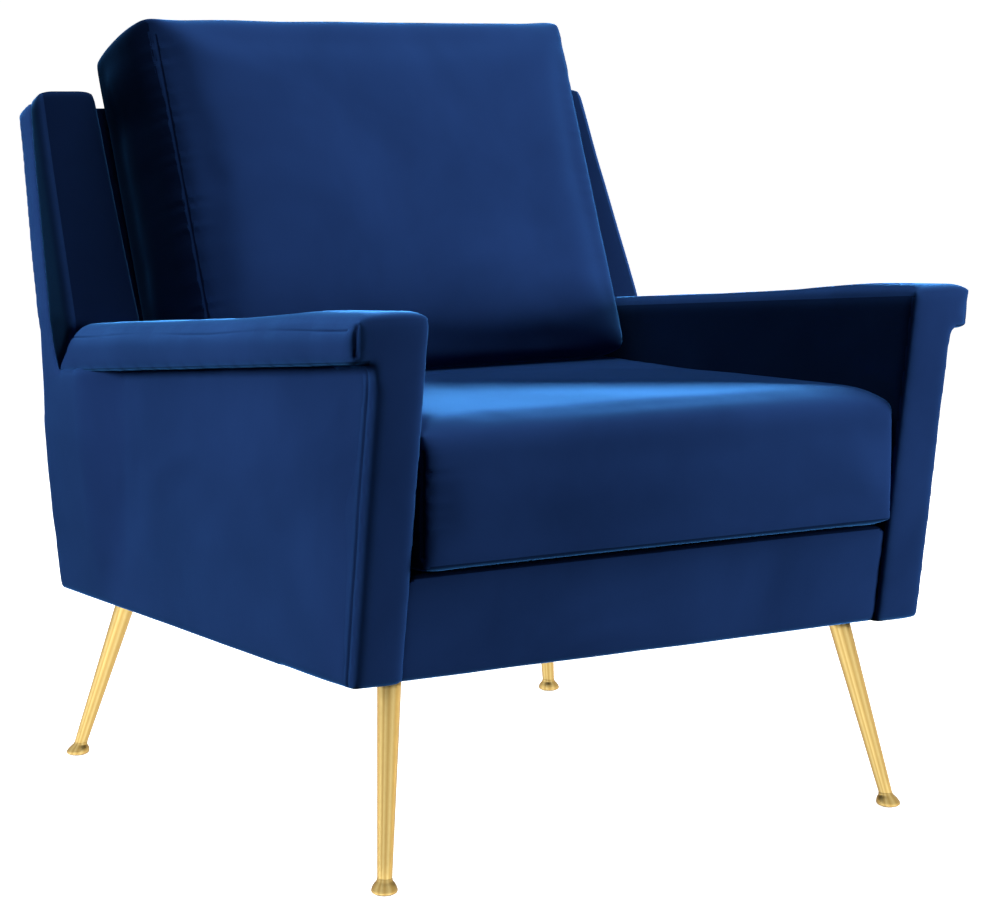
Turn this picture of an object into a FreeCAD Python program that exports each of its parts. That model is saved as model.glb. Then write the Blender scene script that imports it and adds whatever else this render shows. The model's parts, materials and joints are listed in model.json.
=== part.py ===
import FreeCAD, Part
import math
import os

# Upholstered lounge armchair on four splayed brass legs.  Millimetres, +Z up.  The origin is on
# the floor, in the middle of the chair's outline.  The chair faces -Y.  "Left" is the -X side, as
# seen from the front.  Every paired piece is drawn on the +X side and mirrored.

# ---- driving dimensions -------------------------------------------------------------------------
BASE_Z = 213.0            # underside of the upholstered body
FRONT_Y = -352.4          # front lower edge of the body
BODY_HALF = 370.0         # flat outside of the arms
CAP_HALF = 395.0          # outside of the arm caps
ARM_INNER = 308.0         # inside of the arms
ARM_LEAN = 0.1386         # forward lean of the arm fronts, per unit of height
ARM_FRONT_Z = 590.0       # top of the arm cap at its front end
CAP_FRONT_Z = 545.0       # underside of the arm cap at its front end
ARM_REAR = (581.0, 530.0)  # (depth, height) where the cap's top meets the wing
CAP_REAR = (625.0, 475.0)  # (depth, height) of the cap's lower rear corner
WING_SLOPE = 0.46         # recline of the wing's front face
WING_TOP_Z = 793.0
WING_TOP_HALF = 380.0     # outside of the wings at their top
CREASE_SLOPE = 0.32       # recline of the seam between the wing and the outside panel
REAR_BEND = (675.0, 511.0)  # (depth, height) where the outside back starts to lean
REAR_FOOT_DEPTH = 683.0
REAR_SLOPE = 0.32
CUSHION_RECLINE = math.atan(0.394)   # lean of the back cushion from the vertical

TIMBER_IN, TIMBER_OUT = 326.0, 364.0  # the frame timbers lie between these, each side
FOAM = 14.0               # padding on the fronts of the arms and of the rail
FOAM_WING = 16.0
PANEL = 4.0               # outside back: cloth on board
PANEL_IN = 5.0            # inside back: cloth and felt
TIMBER_Z = 219.0          # underside of the timbers
RAIL_TOP_Z = 312.0
SIDE_RAIL_TOP_Z = 290.0
UPRIGHT_FRONT = 590.0     # front of the rear uprights, as depth
UPRIGHT_KNEE_Z = 515.0    # where the uprights' front starts to lean
UPRIGHT_TOP_Z = (756.0, 776.0)  # (rear, front) corners of the uprights' top
POST_DEPTH = 60.0         # front posts, from front to rear
DECK_Z = 327.0            # top of the seat deck
DECK_REAR = 588.0         # rear edge of the seat deck, as depth
DECK, FELT = 6.0, 2.8     # deck cloth over its pad; felt over the springs
PAD_BOTTOM_Z = 319.0      # lower edge of the inside arm pads and of the inside back
REST_FOOT, REST_KNEE_Z = 592.0, 480.0  # inside back: depth at the deck, and where it takes the recline
BOARD = 18.0              # arm top board
BOARD_WRAP = 3.0          # cloth under the arm top board
BOARD_EDGE = 8.0          # padding round the long edges of the arm top board

FRONT_RAIL = (14.0, 36.0)  # (front, rear) depth
REAR_RAIL_FRONT = 655.0
SPRING_RAIL, SPRING_RAIL_Z = (598.0, 622.0), 262.0   # (front, rear) depth, and underside
LOWER_BACK_RAIL_Z, LOWER_BACK_RAIL = (425.0, 470.0), 28.0   # (bottom, top), and thickness
TOP_BACK_RAIL_Z = (700.0, 758.0, 764.0)   # bottom, and top at the rear and at the front
BLOCK_SIDE, BLOCK_TOP_Z = 90.0, 260.0     # corner blocks
BLOCK_SCREW_Z, BLOCK_SCREW_DROP = 248.0, 14.0
BLOCK_SCREW_IN = 30.0     # how far a block screw is from the rail beside it
WEB, WEB_HALF = 1.5, 25.0  # elastic webbing of the back
FLARE = (500.0, 580.0)    # depths where the outside arm panel starts and ends its flare

SEAT_BOTTOM_Z, SEAT_TOP_Z = 328.5, 470.0
SEAT_HALF = 300.0
SEAT_DEPTH = (-24.0, 576.0)
COVER = 3.0               # cushion cover: velvet and fibre wrap
BACK_HALF = 280.0
BACK_FRONT_T = 238.5      # cushion front plane, measured square to the recline
BACK_THICK = 157.0
BACK_REST_T = 401.5       # inside back plane, measured the same way
BACK_TOP_U = 1049.9       # top of the back cushion, measured along the recline
BACK_BOTTOM_Z = 470.8
CUSHION_ROUND = 24.0

LEG_TOP_Z = 216.0
LEG_FRONT_TOP, LEG_FRONT_FOOT = (294.0, 51.0), (329.5, 1.0)     # (x, depth)
LEG_REAR_TOP, LEG_REAR_FOOT = (292.0, 651.0), (340.0, 701.0)
LEG_TOP_R, LEG_FOOT_R = 12.9, 7.9
FOOT_Z = 15.0             # where leg and foot meet
GLIDE, GLIDE_R = 1.2, 10.5
PLATE_HALF, PLATE = 26.0, 3.0
PLATE_SCREW_AT = 18.0     # plate screws, from the leg's axis each way
BOSS_R, BOSS_HIGH = 8.0, 9.0
LEG_OPENING_R = 15.0      # openings of the dust cover
STUD_R, THREAD_GAP = 4.0, 0.05
STUD_IN_LEG, STUD_IN_PLATE = 20.0, 10.0
SCREW_R, SCREW_HEAD_R, SCREW_HEAD, SCREW_LONG = 2.0, 4.0, 1.1, 18.0
SPRING_WIRE_R, SPRING_BEND_R, SPRING_HALF = 1.8, 11.0, 24.0
SPRING_Z = 315.2
SPRING_FRONT, SPRING_TURNS = 25.0, 26
SPRING_XS = (-220.0, -110.0, 0.0, 110.0, 220.0)
CLIP_R, CLIP_HALF, CLIP_STRAP = 3.0, 7.0, 1.2
ZIP_HALF = 225.0
SEAT_ZIP_Z, BACK_ZIP_U = 404.0, 660.0   # height, and distance along the recline

BEYOND = 1200.0           # longer than the chair is in any direction

vec = FreeCAD.Vector
nodes = {}


# ---- helpers ------------------------------------------------------------------------------------
def box(x0, x1, d0, d1, z0, z1):
    """A block between two depths, counted back from the body's front lower edge."""
    return Part.makeBox(x1 - x0, d1 - d0, z1 - z0, vec(x0, FRONT_Y + d0, z0))


def across(outline, x0, x1):
    """A solid with a (depth, height) outline, between two planes of constant x."""
    points = [vec(x0, FRONT_Y + depth, z) for depth, z in outline]
    return Part.Face(Part.makePolygon(points + points[:1])).extrude(vec(x1 - x0, 0, 0))


def front_view(outline):
    """A solid with an (x, height) outline, as deep as the chair and more."""
    points = [vec(x, -BEYOND / 2, z) for x, z in outline]
    return Part.Face(Part.makePolygon(points + points[:1])).extrude(vec(0, BEYOND, 0))


def plan_view(outline):
    """A solid with an (x, depth) outline, from the floor to above the chair."""
    points = [vec(x, FRONT_Y + depth, 0) for x, depth in outline]
    return Part.Face(Part.makePolygon(points + points[:1])).extrude(vec(0, 0, BEYOND))


def lathe(profile, x, depth):
    """A turned solid about a vertical axis; the profile lists edges in the (r, z) plane."""
    place = vec(x, FRONT_Y + depth, 0)
    turned = Part.Face(Part.Wire(profile)).revolve(vec(0, 0, 0), vec(0, 0, 1), 360)
    turned.translate(place)
    return turned


def rod(radius, start, end):
    return Part.makeCylinder(radius, (end - start).Length, start, end - start)


def group(shapes):
    return Part.makeCompound(shapes)


def keep(name, shape):
    nodes[name] = shape


def keep_pair(name, shape):
    keep(name + "_right", shape)
    keep(name + "_left", shape.mirror(vec(0, 0, 0), vec(1, 0, 0)))


def mirrored(shape):
    return shape.mirror(vec(0, 0, 0), vec(1, 0, 0))


# ---- the chair's side lines, as depth or height -------------------------------------------------
def arm_front(z):
    return -ARM_LEAN * (z - BASE_Z)


def line(a, b, at):
    """The value at `at` on the straight line through two (position, value) points."""
    return a[1] + (b[1] - a[1]) * (at - a[0]) / (b[0] - a[0])


def cap_under(depth):
    return line((arm_front(CAP_FRONT_Z), CAP_FRONT_Z), CAP_REAR, depth)


def cap_top(depth):
    return line((arm_front(ARM_FRONT_Z), ARM_FRONT_Z), ARM_REAR, depth)


def wing_front(z):
    return ARM_REAR[0] + WING_SLOPE * (z - ARM_REAR[1])


def crease(z):
    return CAP_REAR[0] + CREASE_SLOPE * (z - CAP_REAR[1])


def wing_top(depth):
    """The wing's top, square to its front face."""
    return WING_TOP_Z - WING_SLOPE * (depth - wing_front(WING_TOP_Z))


def rear(z):
    if z < REAR_BEND[1]:
        return line((BASE_Z, REAR_FOOT_DEPTH), (REAR_BEND[1], REAR_BEND[0]), z)
    return REAR_BEND[0] + REAR_SLOPE * (z - REAR_BEND[1])


def rest(z):
    """Front of the inside back: square to the back cushion above, steeper behind the seat."""
    lean = math.tan(CUSHION_RECLINE)
    above = BACK_REST_T / math.cos(CUSHION_RECLINE)
    if z < REST_KNEE_Z:
        return line((DECK_Z, REST_FOOT), (REST_KNEE_Z, above + lean * REST_KNEE_Z), z)
    return above + lean * z


def meet(depth_of, height_of, z):
    """The (depth, height) where a rising line crosses a line across the chair, near height z."""
    for _ in range(40):
        z = height_of(depth_of(z))
    return depth_of(z), z


def pad_back(z):
    return arm_front(z) + FOAM


def outside_back_face(z):
    """Front of the outside back panel: the rear of everything in front of it."""
    return rear(z) - PANEL


# ---- outlines shared by several pieces ----------------------------------------------------------
CREASE_TOP = meet(crease, wing_top, WING_TOP_Z)
BACK_TOP = meet(outside_back_face, wing_top, WING_TOP_Z)
REST_TOP = meet(rest, wing_top, WING_TOP_Z)
OUTER_TOP = meet(rear, wing_top, WING_TOP_Z)
PAD_UNDER_CAP = meet(pad_back, cap_under, CAP_FRONT_Z)
PAD_ON_CAP = meet(pad_back, cap_top, ARM_FRONT_Z)
BACK_AT_ARM = (outside_back_face(CAP_REAR[1]), CAP_REAR[1])
BACK_AT_BEND = (outside_back_face(REAR_BEND[1]), REAR_BEND[1])

taper = [(BODY_HALF, BASE_Z), (CAP_HALF, CAP_REAR[1]), (CAP_HALF, ARM_REAR[1]),
         (WING_TOP_HALF, WING_TOP_Z)]
side_taper = front_view([(TIMBER_OUT, BASE_Z)] + taper + [(TIMBER_OUT, WING_TOP_Z)])
full_taper = front_view(taper + [(-x, z) for x, z in reversed(taper)])


# ---- timber frame -------------------------------------------------------------------------------
def rear_upright():
    rear_top, front_top = UPRIGHT_TOP_Z
    outline = [(UPRIGHT_FRONT, TIMBER_Z), (outside_back_face(TIMBER_Z), TIMBER_Z), BACK_AT_BEND,
               (outside_back_face(rear_top), rear_top),
               (wing_front(front_top) + FOAM_WING, front_top), (UPRIGHT_FRONT, UPRIGHT_KNEE_Z)]
    return across(outline, TIMBER_IN, TIMBER_OUT)


def arm_board():
    low = [(depth, cap_under(depth) + BOARD_WRAP) for depth in (PAD_UNDER_CAP[0], UPRIGHT_FRONT)]
    outline = low + [(depth, z + BOARD) for depth, z in reversed(low)]
    return across(outline, ARM_INNER + BOARD_EDGE, CAP_HALF - BOARD_EDGE)


def front_post():
    def board_under(depth):
        return cap_under(depth) + BOARD_WRAP

    def post_back(z):
        return pad_back(z) + POST_DEPTH

    outline = [(pad_back(TIMBER_Z), TIMBER_Z), meet(pad_back, board_under, CAP_FRONT_Z),
               meet(post_back, board_under, CAP_FRONT_Z), (post_back(TIMBER_Z), TIMBER_Z)]
    return across(outline, TIMBER_IN, TIMBER_OUT)


def corner_block(sign, corner_depth, inward):
    """A triangular block glued into one corner of the seat frame."""
    outline = [(sign * TIMBER_IN, corner_depth), (sign * (TIMBER_IN - BLOCK_SIDE), corner_depth),
               (sign * TIMBER_IN, corner_depth + inward * BLOCK_SIDE)]
    layer = box(-CAP_HALF, CAP_HALF, 0, REAR_FOOT_DEPTH, TIMBER_Z, BLOCK_TOP_Z)
    return plan_view(outline).common(layer)


REAR_RAIL = (REAR_RAIL_FRONT, outside_back_face(SIDE_RAIL_TOP_Z))
corners = [(sign, depth, inward) for sign in (-1, 1)
           for depth, inward in ((FRONT_RAIL[1], 1), (REAR_RAIL[0], -1))]


def block_screws(sign, corner_depth, inward):
    """Two wood screws that draw a corner block into its two rails."""
    into_side, into_rail = 22.0, 14.0
    x = sign * (TIMBER_IN - BLOCK_SCREW_IN)
    y = FRONT_Y + corner_depth
    middle = vec(x, y + inward * BLOCK_SCREW_IN, BLOCK_SCREW_Z)
    to_side = vec(sign * (TIMBER_IN + into_side), y + inward * BLOCK_SCREW_IN, BLOCK_SCREW_Z)
    to_rail = vec(x, y - inward * into_rail, BLOCK_SCREW_Z)
    low = vec(0, 0, -BLOCK_SCREW_DROP)
    return [rod(SCREW_R, middle, to_side), rod(SCREW_R, middle + low, to_rail + low)]


# ---- legs ---------------------------------------------------------------------------------------
LEGS = {"front": (LEG_FRONT_TOP, LEG_FRONT_FOOT), "rear": (LEG_REAR_TOP, LEG_REAR_FOOT)}


def leg_axis(end):
    (top_x, top_d), (foot_x, foot_d) = LEGS[end]
    return vec(top_x, FRONT_Y + top_d, LEG_TOP_Z), vec(foot_x, FRONT_Y + foot_d, FOOT_Z)


def leg(end):
    """A slim cone along the splay, cut level at both ends, with a blind hole for the stud."""
    top, foot = leg_axis(end)
    run = top - foot
    spare = 8.0             # the cone runs past both level cuts
    flare = (LEG_TOP_R - LEG_FOOT_R) / run.Length * spare
    along = vec(run.x, run.y, run.z).normalize()
    cone = Part.makeCone(LEG_FOOT_R - flare, LEG_TOP_R + flare, run.Length + 2 * spare,
                         foot - along * spare, along)
    slab = Part.makeBox(BEYOND, BEYOND, LEG_TOP_Z - FOOT_Z, vec(-BEYOND / 2, -BEYOND / 2, FOOT_Z))
    hole = rod(STUD_R + THREAD_GAP, top - along * (STUD_IN_LEG + 2), top + along * STUD_IN_LEG)
    return cone.common(slab).cut(hole)


def stud(end):
    top, foot = leg_axis(end)
    along = (top - foot).normalize()
    return rod(STUD_R, top - along * STUD_IN_LEG, top + along * STUD_IN_PLATE)


def plate(end):
    """A square steel plate with a threaded boss, in line with the leg."""
    top, foot = leg_axis(end)
    depth = top.y - FRONT_Y
    along = (top - foot).normalize()
    flat = box(top.x - PLATE_HALF, top.x + PLATE_HALF, depth - PLATE_HALF, depth + PLATE_HALF,
               LEG_TOP_Z, LEG_TOP_Z + PLATE)
    boss = Part.makeCylinder(BOSS_R, BOSS_HIGH, vec(top.x, top.y, LEG_TOP_Z + PLATE))
    bore = rod(STUD_R + THREAD_GAP, top - along * STUD_IN_LEG, top + along * STUD_IN_LEG)
    return flat.fuse(boss).cut(bore).cut(group(plate_screws(end)))


def boss_pocket(end):
    top, _ = leg_axis(end)
    return Part.makeCylinder(BOSS_R + 2, BOSS_HIGH + 6, vec(top.x, top.y, LEG_TOP_Z + PLATE))


def plate_screws(end):
    top, _ = leg_axis(end)
    screws = []
    for dx in (-PLATE_SCREW_AT, PLATE_SCREW_AT):
        for dy in (-PLATE_SCREW_AT, PLATE_SCREW_AT):
            foot = vec(top.x + dx, top.y + dy, LEG_TOP_Z)
            shank = rod(SCREW_R, foot, foot + vec(0, 0, SCREW_LONG))
            head = Part.makeCylinder(SCREW_HEAD_R, SCREW_HEAD, foot - vec(0, 0, SCREW_HEAD))
            screws.append(shank.fuse(head))
    return screws


def foot(end):
    """A turned bell-shaped foot: waist, swelling side, rounded lower edge, flat sole."""
    def arc(a, b, c):
        return Part.Arc(vec(a[0], 0, a[1]), vec(b[0], 0, b[1]), vec(c[0], 0, c[1])).toShape()

    def edge(a, b):
        return Part.LineSegment(vec(a[0], 0, a[1]), vec(b[0], 0, b[1])).toShape()

    sole, lip, widest = (11.4, GLIDE), (13.0, 2.0), (13.7, 4.0)
    shoulder, neck = (8.8, 12.2), (8.1, FOOT_Z)
    profile = [edge((0, GLIDE), sole), arc(sole, lip, widest),
               arc(widest, (12.0, 9.0), shoulder), arc(shoulder, (8.25, 13.4), neck),
               edge(neck, (0, FOOT_Z)), edge((0, FOOT_Z), (0, GLIDE))]
    (_, _), (x, depth) = LEGS[end]
    return lathe(profile, x, depth)


def glide(end):
    (_, _), (x, depth) = LEGS[end]
    return Part.makeCylinder(GLIDE_R, GLIDE, vec(x, FRONT_Y + depth, 0))


ends = ("front", "rear")
pockets = group([s for end in ends for s in (boss_pocket(end), mirrored(boss_pocket(end)))])
plate_screw_set = [s for end in ends for one in plate_screws(end) for s in (one, mirrored(one))]
block_screw_set = [screw for corner in corners for screw in block_screws(*corner)]
borings = group([pockets] + plate_screw_set + block_screw_set)

post, upright = front_post(), rear_upright()
keep("front_rail", box(-TIMBER_IN, TIMBER_IN, *FRONT_RAIL, TIMBER_Z, RAIL_TOP_Z).cut(borings))
keep("rear_rail", box(-TIMBER_IN, TIMBER_IN, *REAR_RAIL, TIMBER_Z, SIDE_RAIL_TOP_Z).cut(borings))
keep("spring_rail", box(-TIMBER_IN, TIMBER_IN, *SPRING_RAIL, SPRING_RAIL_Z, RAIL_TOP_Z))
keep_pair("side_rail", box(TIMBER_IN, TIMBER_OUT, POST_DEPTH, UPRIGHT_FRONT, TIMBER_Z,
                           SIDE_RAIL_TOP_Z).cut(post).cut(borings))
keep_pair("front_post", post.cut(borings))
keep_pair("rear_upright", upright.cut(borings))
keep_pair("arm_top_board", arm_board())
keep("corner_blocks", group([corner_block(*corner).cut(borings) for corner in corners]))
keep("corner_block_screws", group(block_screw_set))



def behind_webs(z):
    return rest(z) + PANEL_IN + WEB


low, high = LOWER_BACK_RAIL_Z
lower_rail = across([(behind_webs(low), low), (behind_webs(low) + LOWER_BACK_RAIL, low),
                     (behind_webs(high) + LOWER_BACK_RAIL, high), (behind_webs(high), high)],
                    -TIMBER_IN, TIMBER_IN)
low, rear_top, front_top = TOP_BACK_RAIL_Z
top_rail = across([(behind_webs(low), low), (outside_back_face(low), low),
                   (outside_back_face(rear_top), rear_top), (behind_webs(front_top), front_top)],
                  -TIMBER_IN, TIMBER_IN)
keep("back_lower_rail", lower_rail)
keep("back_top_rail", top_rail)

for end in ends:
    keep_pair("leg_" + end, leg(end))
    keep_pair("foot_" + end, foot(end))
keep("leg_studs", group([s for end in ends for s in (stud(end), mirrored(stud(end)))]))
keep("leg_plates", group([s for end in ends for s in (plate(end), mirrored(plate(end)))]))
keep("leg_plate_screws", group(plate_screw_set))
keep("glides", group([s for end in ends for s in (glide(end), mirrored(glide(end)))]))


# ---- seat suspension ----------------------------------------------------------------------------
SPRING_REAR = SPRING_FRONT + SPRING_TURNS * 2 * SPRING_BEND_R


def zigzag_spring(x):
    """One sinuous spring: straight bars across the seat joined by half-round bends."""
    reach = SPRING_HALF - SPRING_BEND_R
    edges = []
    for turn in range(SPRING_TURNS + 1):
        side = 1 if turn % 2 == 0 else -1
        y = FRONT_Y + SPRING_FRONT + turn * 2 * SPRING_BEND_R
        start = vec(x - side * reach, y, SPRING_Z)
        end = vec(x + side * reach, y, SPRING_Z)
        edges.append(Part.LineSegment(start, end).toShape())
        if turn < SPRING_TURNS:
            crown = end + vec(side * SPRING_BEND_R, SPRING_BEND_R, 0)
            back = end + vec(0, 2 * SPRING_BEND_R, 0)
            edges.append(Part.Arc(end, crown, back).toShape())
    path = Part.Wire(edges)
    first = vec(x - reach, FRONT_Y + SPRING_FRONT, SPRING_Z)
    section = Part.Wire(Part.makeCircle(SPRING_WIRE_R, first, vec(1, 0, 0)))
    return path.makePipeShell([section], True, False)


def spring_clip(x, depth):
    """A steel strap nailed on the rail, curled over the spring's end bar."""
    y = FRONT_Y + depth
    left, right = vec(x - CLIP_HALF, y, SPRING_Z), vec(x + CLIP_HALF, y, SPRING_Z)
    curl = rod(CLIP_R, left, right)
    strap = box(x - CLIP_HALF, x + CLIP_HALF, depth - CLIP_R, depth + 3 * CLIP_R, RAIL_TOP_Z,
                RAIL_TOP_Z + CLIP_STRAP)
    bar = rod(SPRING_WIRE_R + THREAD_GAP, left - vec(3, 0, 0), right + vec(3, 0, 0))
    return curl.fuse(strap).cut(bar)


keep("seat_springs", group([zigzag_spring(x) for x in SPRING_XS]))
keep("spring_clips", group([spring_clip(x, depth) for x in SPRING_XS
                            for depth in (SPRING_FRONT, SPRING_REAR)]))
seat_plan = (-ARM_INNER, ARM_INNER, FRONT_RAIL[1] + 1, DECK_REAR)
keep("spring_felt", box(*seat_plan, DECK_Z - DECK - FELT, DECK_Z - DECK))
keep("seat_deck", box(*seat_plan, DECK_Z - DECK, DECK_Z))


def back_web(x):
    """An elastic webbing strip from the lower back rail to the top back rail."""
    heights = (LOWER_BACK_RAIL_Z[0], REST_KNEE_Z, TOP_BACK_RAIL_Z[2] - 2)
    front = [(rest(z) + PANEL_IN, z) for z in heights]
    back = [(behind_webs(z), z) for z in reversed(heights)]
    return across(front + back, x - WEB_HALF, x + WEB_HALF)


keep("back_webbing", group([back_web(x) for x in SPRING_XS]))


# ---- upholstery over the frame ------------------------------------------------------------------
def inside_back():
    """Cloth and felt over the webbing, turned over the top rail."""
    def back_face(z):
        return rest(z) + PANEL_IN

    def lip_under(depth):
        return wing_top(depth) - 5.5

    outline = [(rest(PAD_BOTTOM_Z), PAD_BOTTOM_Z), (rest(REST_KNEE_Z), REST_KNEE_Z), REST_TOP,
               BACK_TOP, meet(outside_back_face, lip_under, WING_TOP_Z),
               meet(back_face, lip_under, WING_TOP_Z), (back_face(REST_KNEE_Z), REST_KNEE_Z),
               (back_face(PAD_BOTTOM_Z), PAD_BOTTOM_Z)]
    return across(outline, -ARM_INNER, ARM_INNER)


def outside_back():
    outline = [(REAR_FOOT_DEPTH, BASE_Z), REAR_BEND, OUTER_TOP, BACK_TOP, BACK_AT_BEND,
               (outside_back_face(BASE_Z), BASE_Z)]
    return across(outline, -CAP_HALF, CAP_HALF).common(full_taper)


def outside_arm():
    """The outside panel: flat under the arm, flaring out behind it to carry on up the wing."""
    back_low = (outside_back_face(BASE_Z), BASE_Z)
    flat = across([(pad_back(BASE_Z), BASE_Z), back_low, BACK_AT_ARM, CAP_REAR, PAD_UNDER_CAP],
                  TIMBER_OUT, BODY_HALF)
    flare_start, flare_full = FLARE
    ramp = plan_view([(TIMBER_OUT, flare_start), (BODY_HALF, flare_start), (CAP_HALF, flare_full),
                      (CAP_HALF, BEYOND), (TIMBER_OUT, BEYOND)])
    lower = across([(flare_start, BASE_Z), back_low, BACK_AT_ARM, CAP_REAR,
                    (flare_start, cap_under(flare_start))], TIMBER_OUT, CAP_HALF)
    upper = across([CAP_REAR, BACK_AT_ARM, BACK_AT_BEND, BACK_TOP, CREASE_TOP],
                   TIMBER_OUT, CAP_HALF)
    return flat.fuse(lower.common(ramp).common(side_taper)).fuse(upper.common(side_taper))


def inside_arm():
    outline = [(pad_back(PAD_BOTTOM_Z), PAD_BOTTOM_Z),
               (outside_back_face(PAD_BOTTOM_Z), PAD_BOTTOM_Z), BACK_AT_ARM, CAP_REAR,
               PAD_UNDER_CAP]
    return across(outline, ARM_INNER, TIMBER_IN).cut(lower_rail)


def arm_cap():
    """The padded arm top, wrapped round its board and overhanging the outside of the arm."""
    under = [(depth, cap_under(depth)) for depth in (-POST_DEPTH, CAP_REAR[0])]
    neck = across(under + [(depth, z + BOARD_WRAP) for depth, z in reversed(under)],
                  TIMBER_IN, TIMBER_OUT)
    padding = across([PAD_UNDER_CAP, CAP_REAR, ARM_REAR, PAD_ON_CAP], ARM_INNER, CAP_HALF)
    return padding.cut(arm_board()).cut(neck).cut(upright)


def arm_front_pad():
    """The padded front of the arm: the post and the end of the cap above it."""
    outline = [(0, BASE_Z), (pad_back(BASE_Z), BASE_Z), PAD_ON_CAP,
               (arm_front(ARM_FRONT_Z), ARM_FRONT_Z)]
    seven = front_view([(ARM_INNER, BASE_Z), (BODY_HALF, BASE_Z), (BODY_HALF, CAP_FRONT_Z),
                        (CAP_HALF, CAP_FRONT_Z), (CAP_HALF, ARM_FRONT_Z + 10),
                        (ARM_INNER, ARM_FRONT_Z + 10)])
    return across(outline, ARM_INNER, CAP_HALF).common(seven)


def wing_pad():
    """The padded wing beside the back: thick over the upright, and out to the crease outside."""
    top_front = (wing_front(WING_TOP_Z), WING_TOP_Z)
    over = across([ARM_REAR, top_front, BACK_TOP, BACK_AT_BEND, BACK_AT_ARM, CAP_REAR],
                  ARM_INNER, TIMBER_OUT)
    outer = across([ARM_REAR, top_front, CREASE_TOP, CAP_REAR], TIMBER_OUT, CAP_HALF)
    return over.cut(upright).cut(top_rail).fuse(outer.common(side_taper))


def front_rail_pad():
    top, lip = DECK_Z - 2, 318.4
    recess = 3.0
    front, rail_rear = FRONT_RAIL
    outline = [(recess, BASE_Z), (front, BASE_Z), (front, lip), (rail_rear, lip),
               (rail_rear, top), (arm_front(top) + recess, top)]
    return across(outline, -ARM_INNER, ARM_INNER)


def dust_cover():
    """Black cloth under the frame, with a round opening for each leg."""
    sheet = box(-TIMBER_OUT, TIMBER_OUT, FOAM, outside_back_face(BASE_Z + 2), BASE_Z + 0.5,
                BASE_Z + 1.7)
    openings = []
    for end in ends:
        top, _ = leg_axis(end)
        opening = Part.makeCylinder(LEG_OPENING_R, 8, vec(top.x, top.y, BASE_Z - 3))
        openings += [opening, mirrored(opening)]
    return sheet.cut(group(openings))


keep("inside_back_panel", inside_back())
keep("outside_back_panel", outside_back())
keep_pair("outside_arm_panel", outside_arm())
keep_pair("inside_arm_pad", inside_arm())
keep_pair("arm_cap_pad", arm_cap())
keep_pair("arm_front_pad", arm_front_pad())
keep_pair("wing_pad", wing_pad())
keep("front_rail_pad", front_rail_pad())
keep("dust_cover", dust_cover())


# ---- loose cushions -----------------------------------------------------------------------------
def rounded(block, radius):
    return block.makeFillet(radius, block.Edges)


def seat_block(inset):
    return rounded(box(-SEAT_HALF + inset, SEAT_HALF - inset, SEAT_DEPTH[0] + inset,
                       SEAT_DEPTH[1] - inset, SEAT_BOTTOM_Z + inset, SEAT_TOP_Z - inset),
                   CUSHION_ROUND - inset)


def back_block(inset):
    """A leaning slab, cut level where it stands on the seat cushion."""
    low_u = 560.0           # below the level cut, measured along the recline
    slab = Part.makeBox(2 * (BACK_HALF - inset), BACK_THICK - 2 * inset, BACK_TOP_U - low_u - inset,
                        vec(-BACK_HALF + inset, BACK_FRONT_T + inset, low_u))
    slab = rounded(slab, CUSHION_ROUND - inset)
    slab.rotate(vec(0, 0, 0), vec(1, 0, 0), -math.degrees(CUSHION_RECLINE))
    slab.translate(vec(0, FRONT_Y, 0))
    above = Part.makeBox(BEYOND, BEYOND, BEYOND,
                         vec(-BEYOND / 2, -BEYOND / 2, BACK_BOTTOM_Z + inset))
    return slab.common(above)


def zip_parts():
    """A zip lying flat on the plane z = 0 and running along x: its tape, coil and slider."""
    tape_thick, tape_wide, tape_end = 0.8, 24, 6
    coil_high, coil_wide = 1.2, 5
    tape = Part.makeBox(2 * (ZIP_HALF + tape_end), tape_wide, tape_thick,
                        vec(-ZIP_HALF - tape_end, -tape_wide / 2, -tape_thick))
    coil = Part.makeBox(2 * ZIP_HALF, coil_wide, coil_high, vec(-ZIP_HALF, -coil_wide / 2, 0))
    body = Part.makeBox(10, 10, 3.2, vec(-5, -5, 0.4))
    body = body.makeFillet(1.0, [e for e in body.Edges if abs(e.tangentAt(0).z) > 0.9])
    channel = Part.makeBox(12, 5.8, 1.25, vec(-6, -2.9, 0.35))
    tab = Part.makeBox(5, 24, 0.9, vec(-2.5, 2, 2.7))
    loop = Part.makeBox(3, 2.4, 1.0, vec(-1.5, 3.8, 1.7))
    slider = body.cut(channel).fuse(tab).fuse(loop)
    slider.translate(vec(ZIP_HALF - 8, 0, 0))
    return tape.fuse(coil), slider


def place_zip(shape, tilt, depth, z):
    """Turn a zip from lying flat to facing the rear, leaning by tilt, at a (depth, height)."""
    shape.rotate(vec(0, 0, 0), vec(1, 0, 0), -90)
    shape.rotate(vec(0, 0, 0), vec(1, 0, 0), -tilt)
    shape.translate(vec(0, FRONT_Y + depth, z))
    return shape


seat_zip, seat_slider = [place_zip(s, 0, SEAT_DEPTH[1], SEAT_ZIP_Z) for s in zip_parts()]
keep("seat_cushion_core", seat_block(COVER))
keep("seat_cushion_cover", seat_block(0).cut(seat_block(COVER)).cut(seat_zip))
keep("seat_cushion_zip", seat_zip)
keep("seat_zip_slider", seat_slider)

sin_r, cos_r = math.sin(CUSHION_RECLINE), math.cos(CUSHION_RECLINE)
back_rear_t = BACK_FRONT_T + BACK_THICK
back_zip_at = (back_rear_t * cos_r + BACK_ZIP_U * sin_r, -back_rear_t * sin_r + BACK_ZIP_U * cos_r)
back_zip, back_slider = [place_zip(s, math.degrees(CUSHION_RECLINE), *back_zip_at)
                         for s in zip_parts()]
keep("back_cushion_core", back_block(COVER))
keep("back_cushion_cover", back_block(0).cut(back_block(COVER)).cut(back_zip))
keep("back_cushion_zip", back_zip)
keep("back_zip_slider", back_slider)


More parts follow.
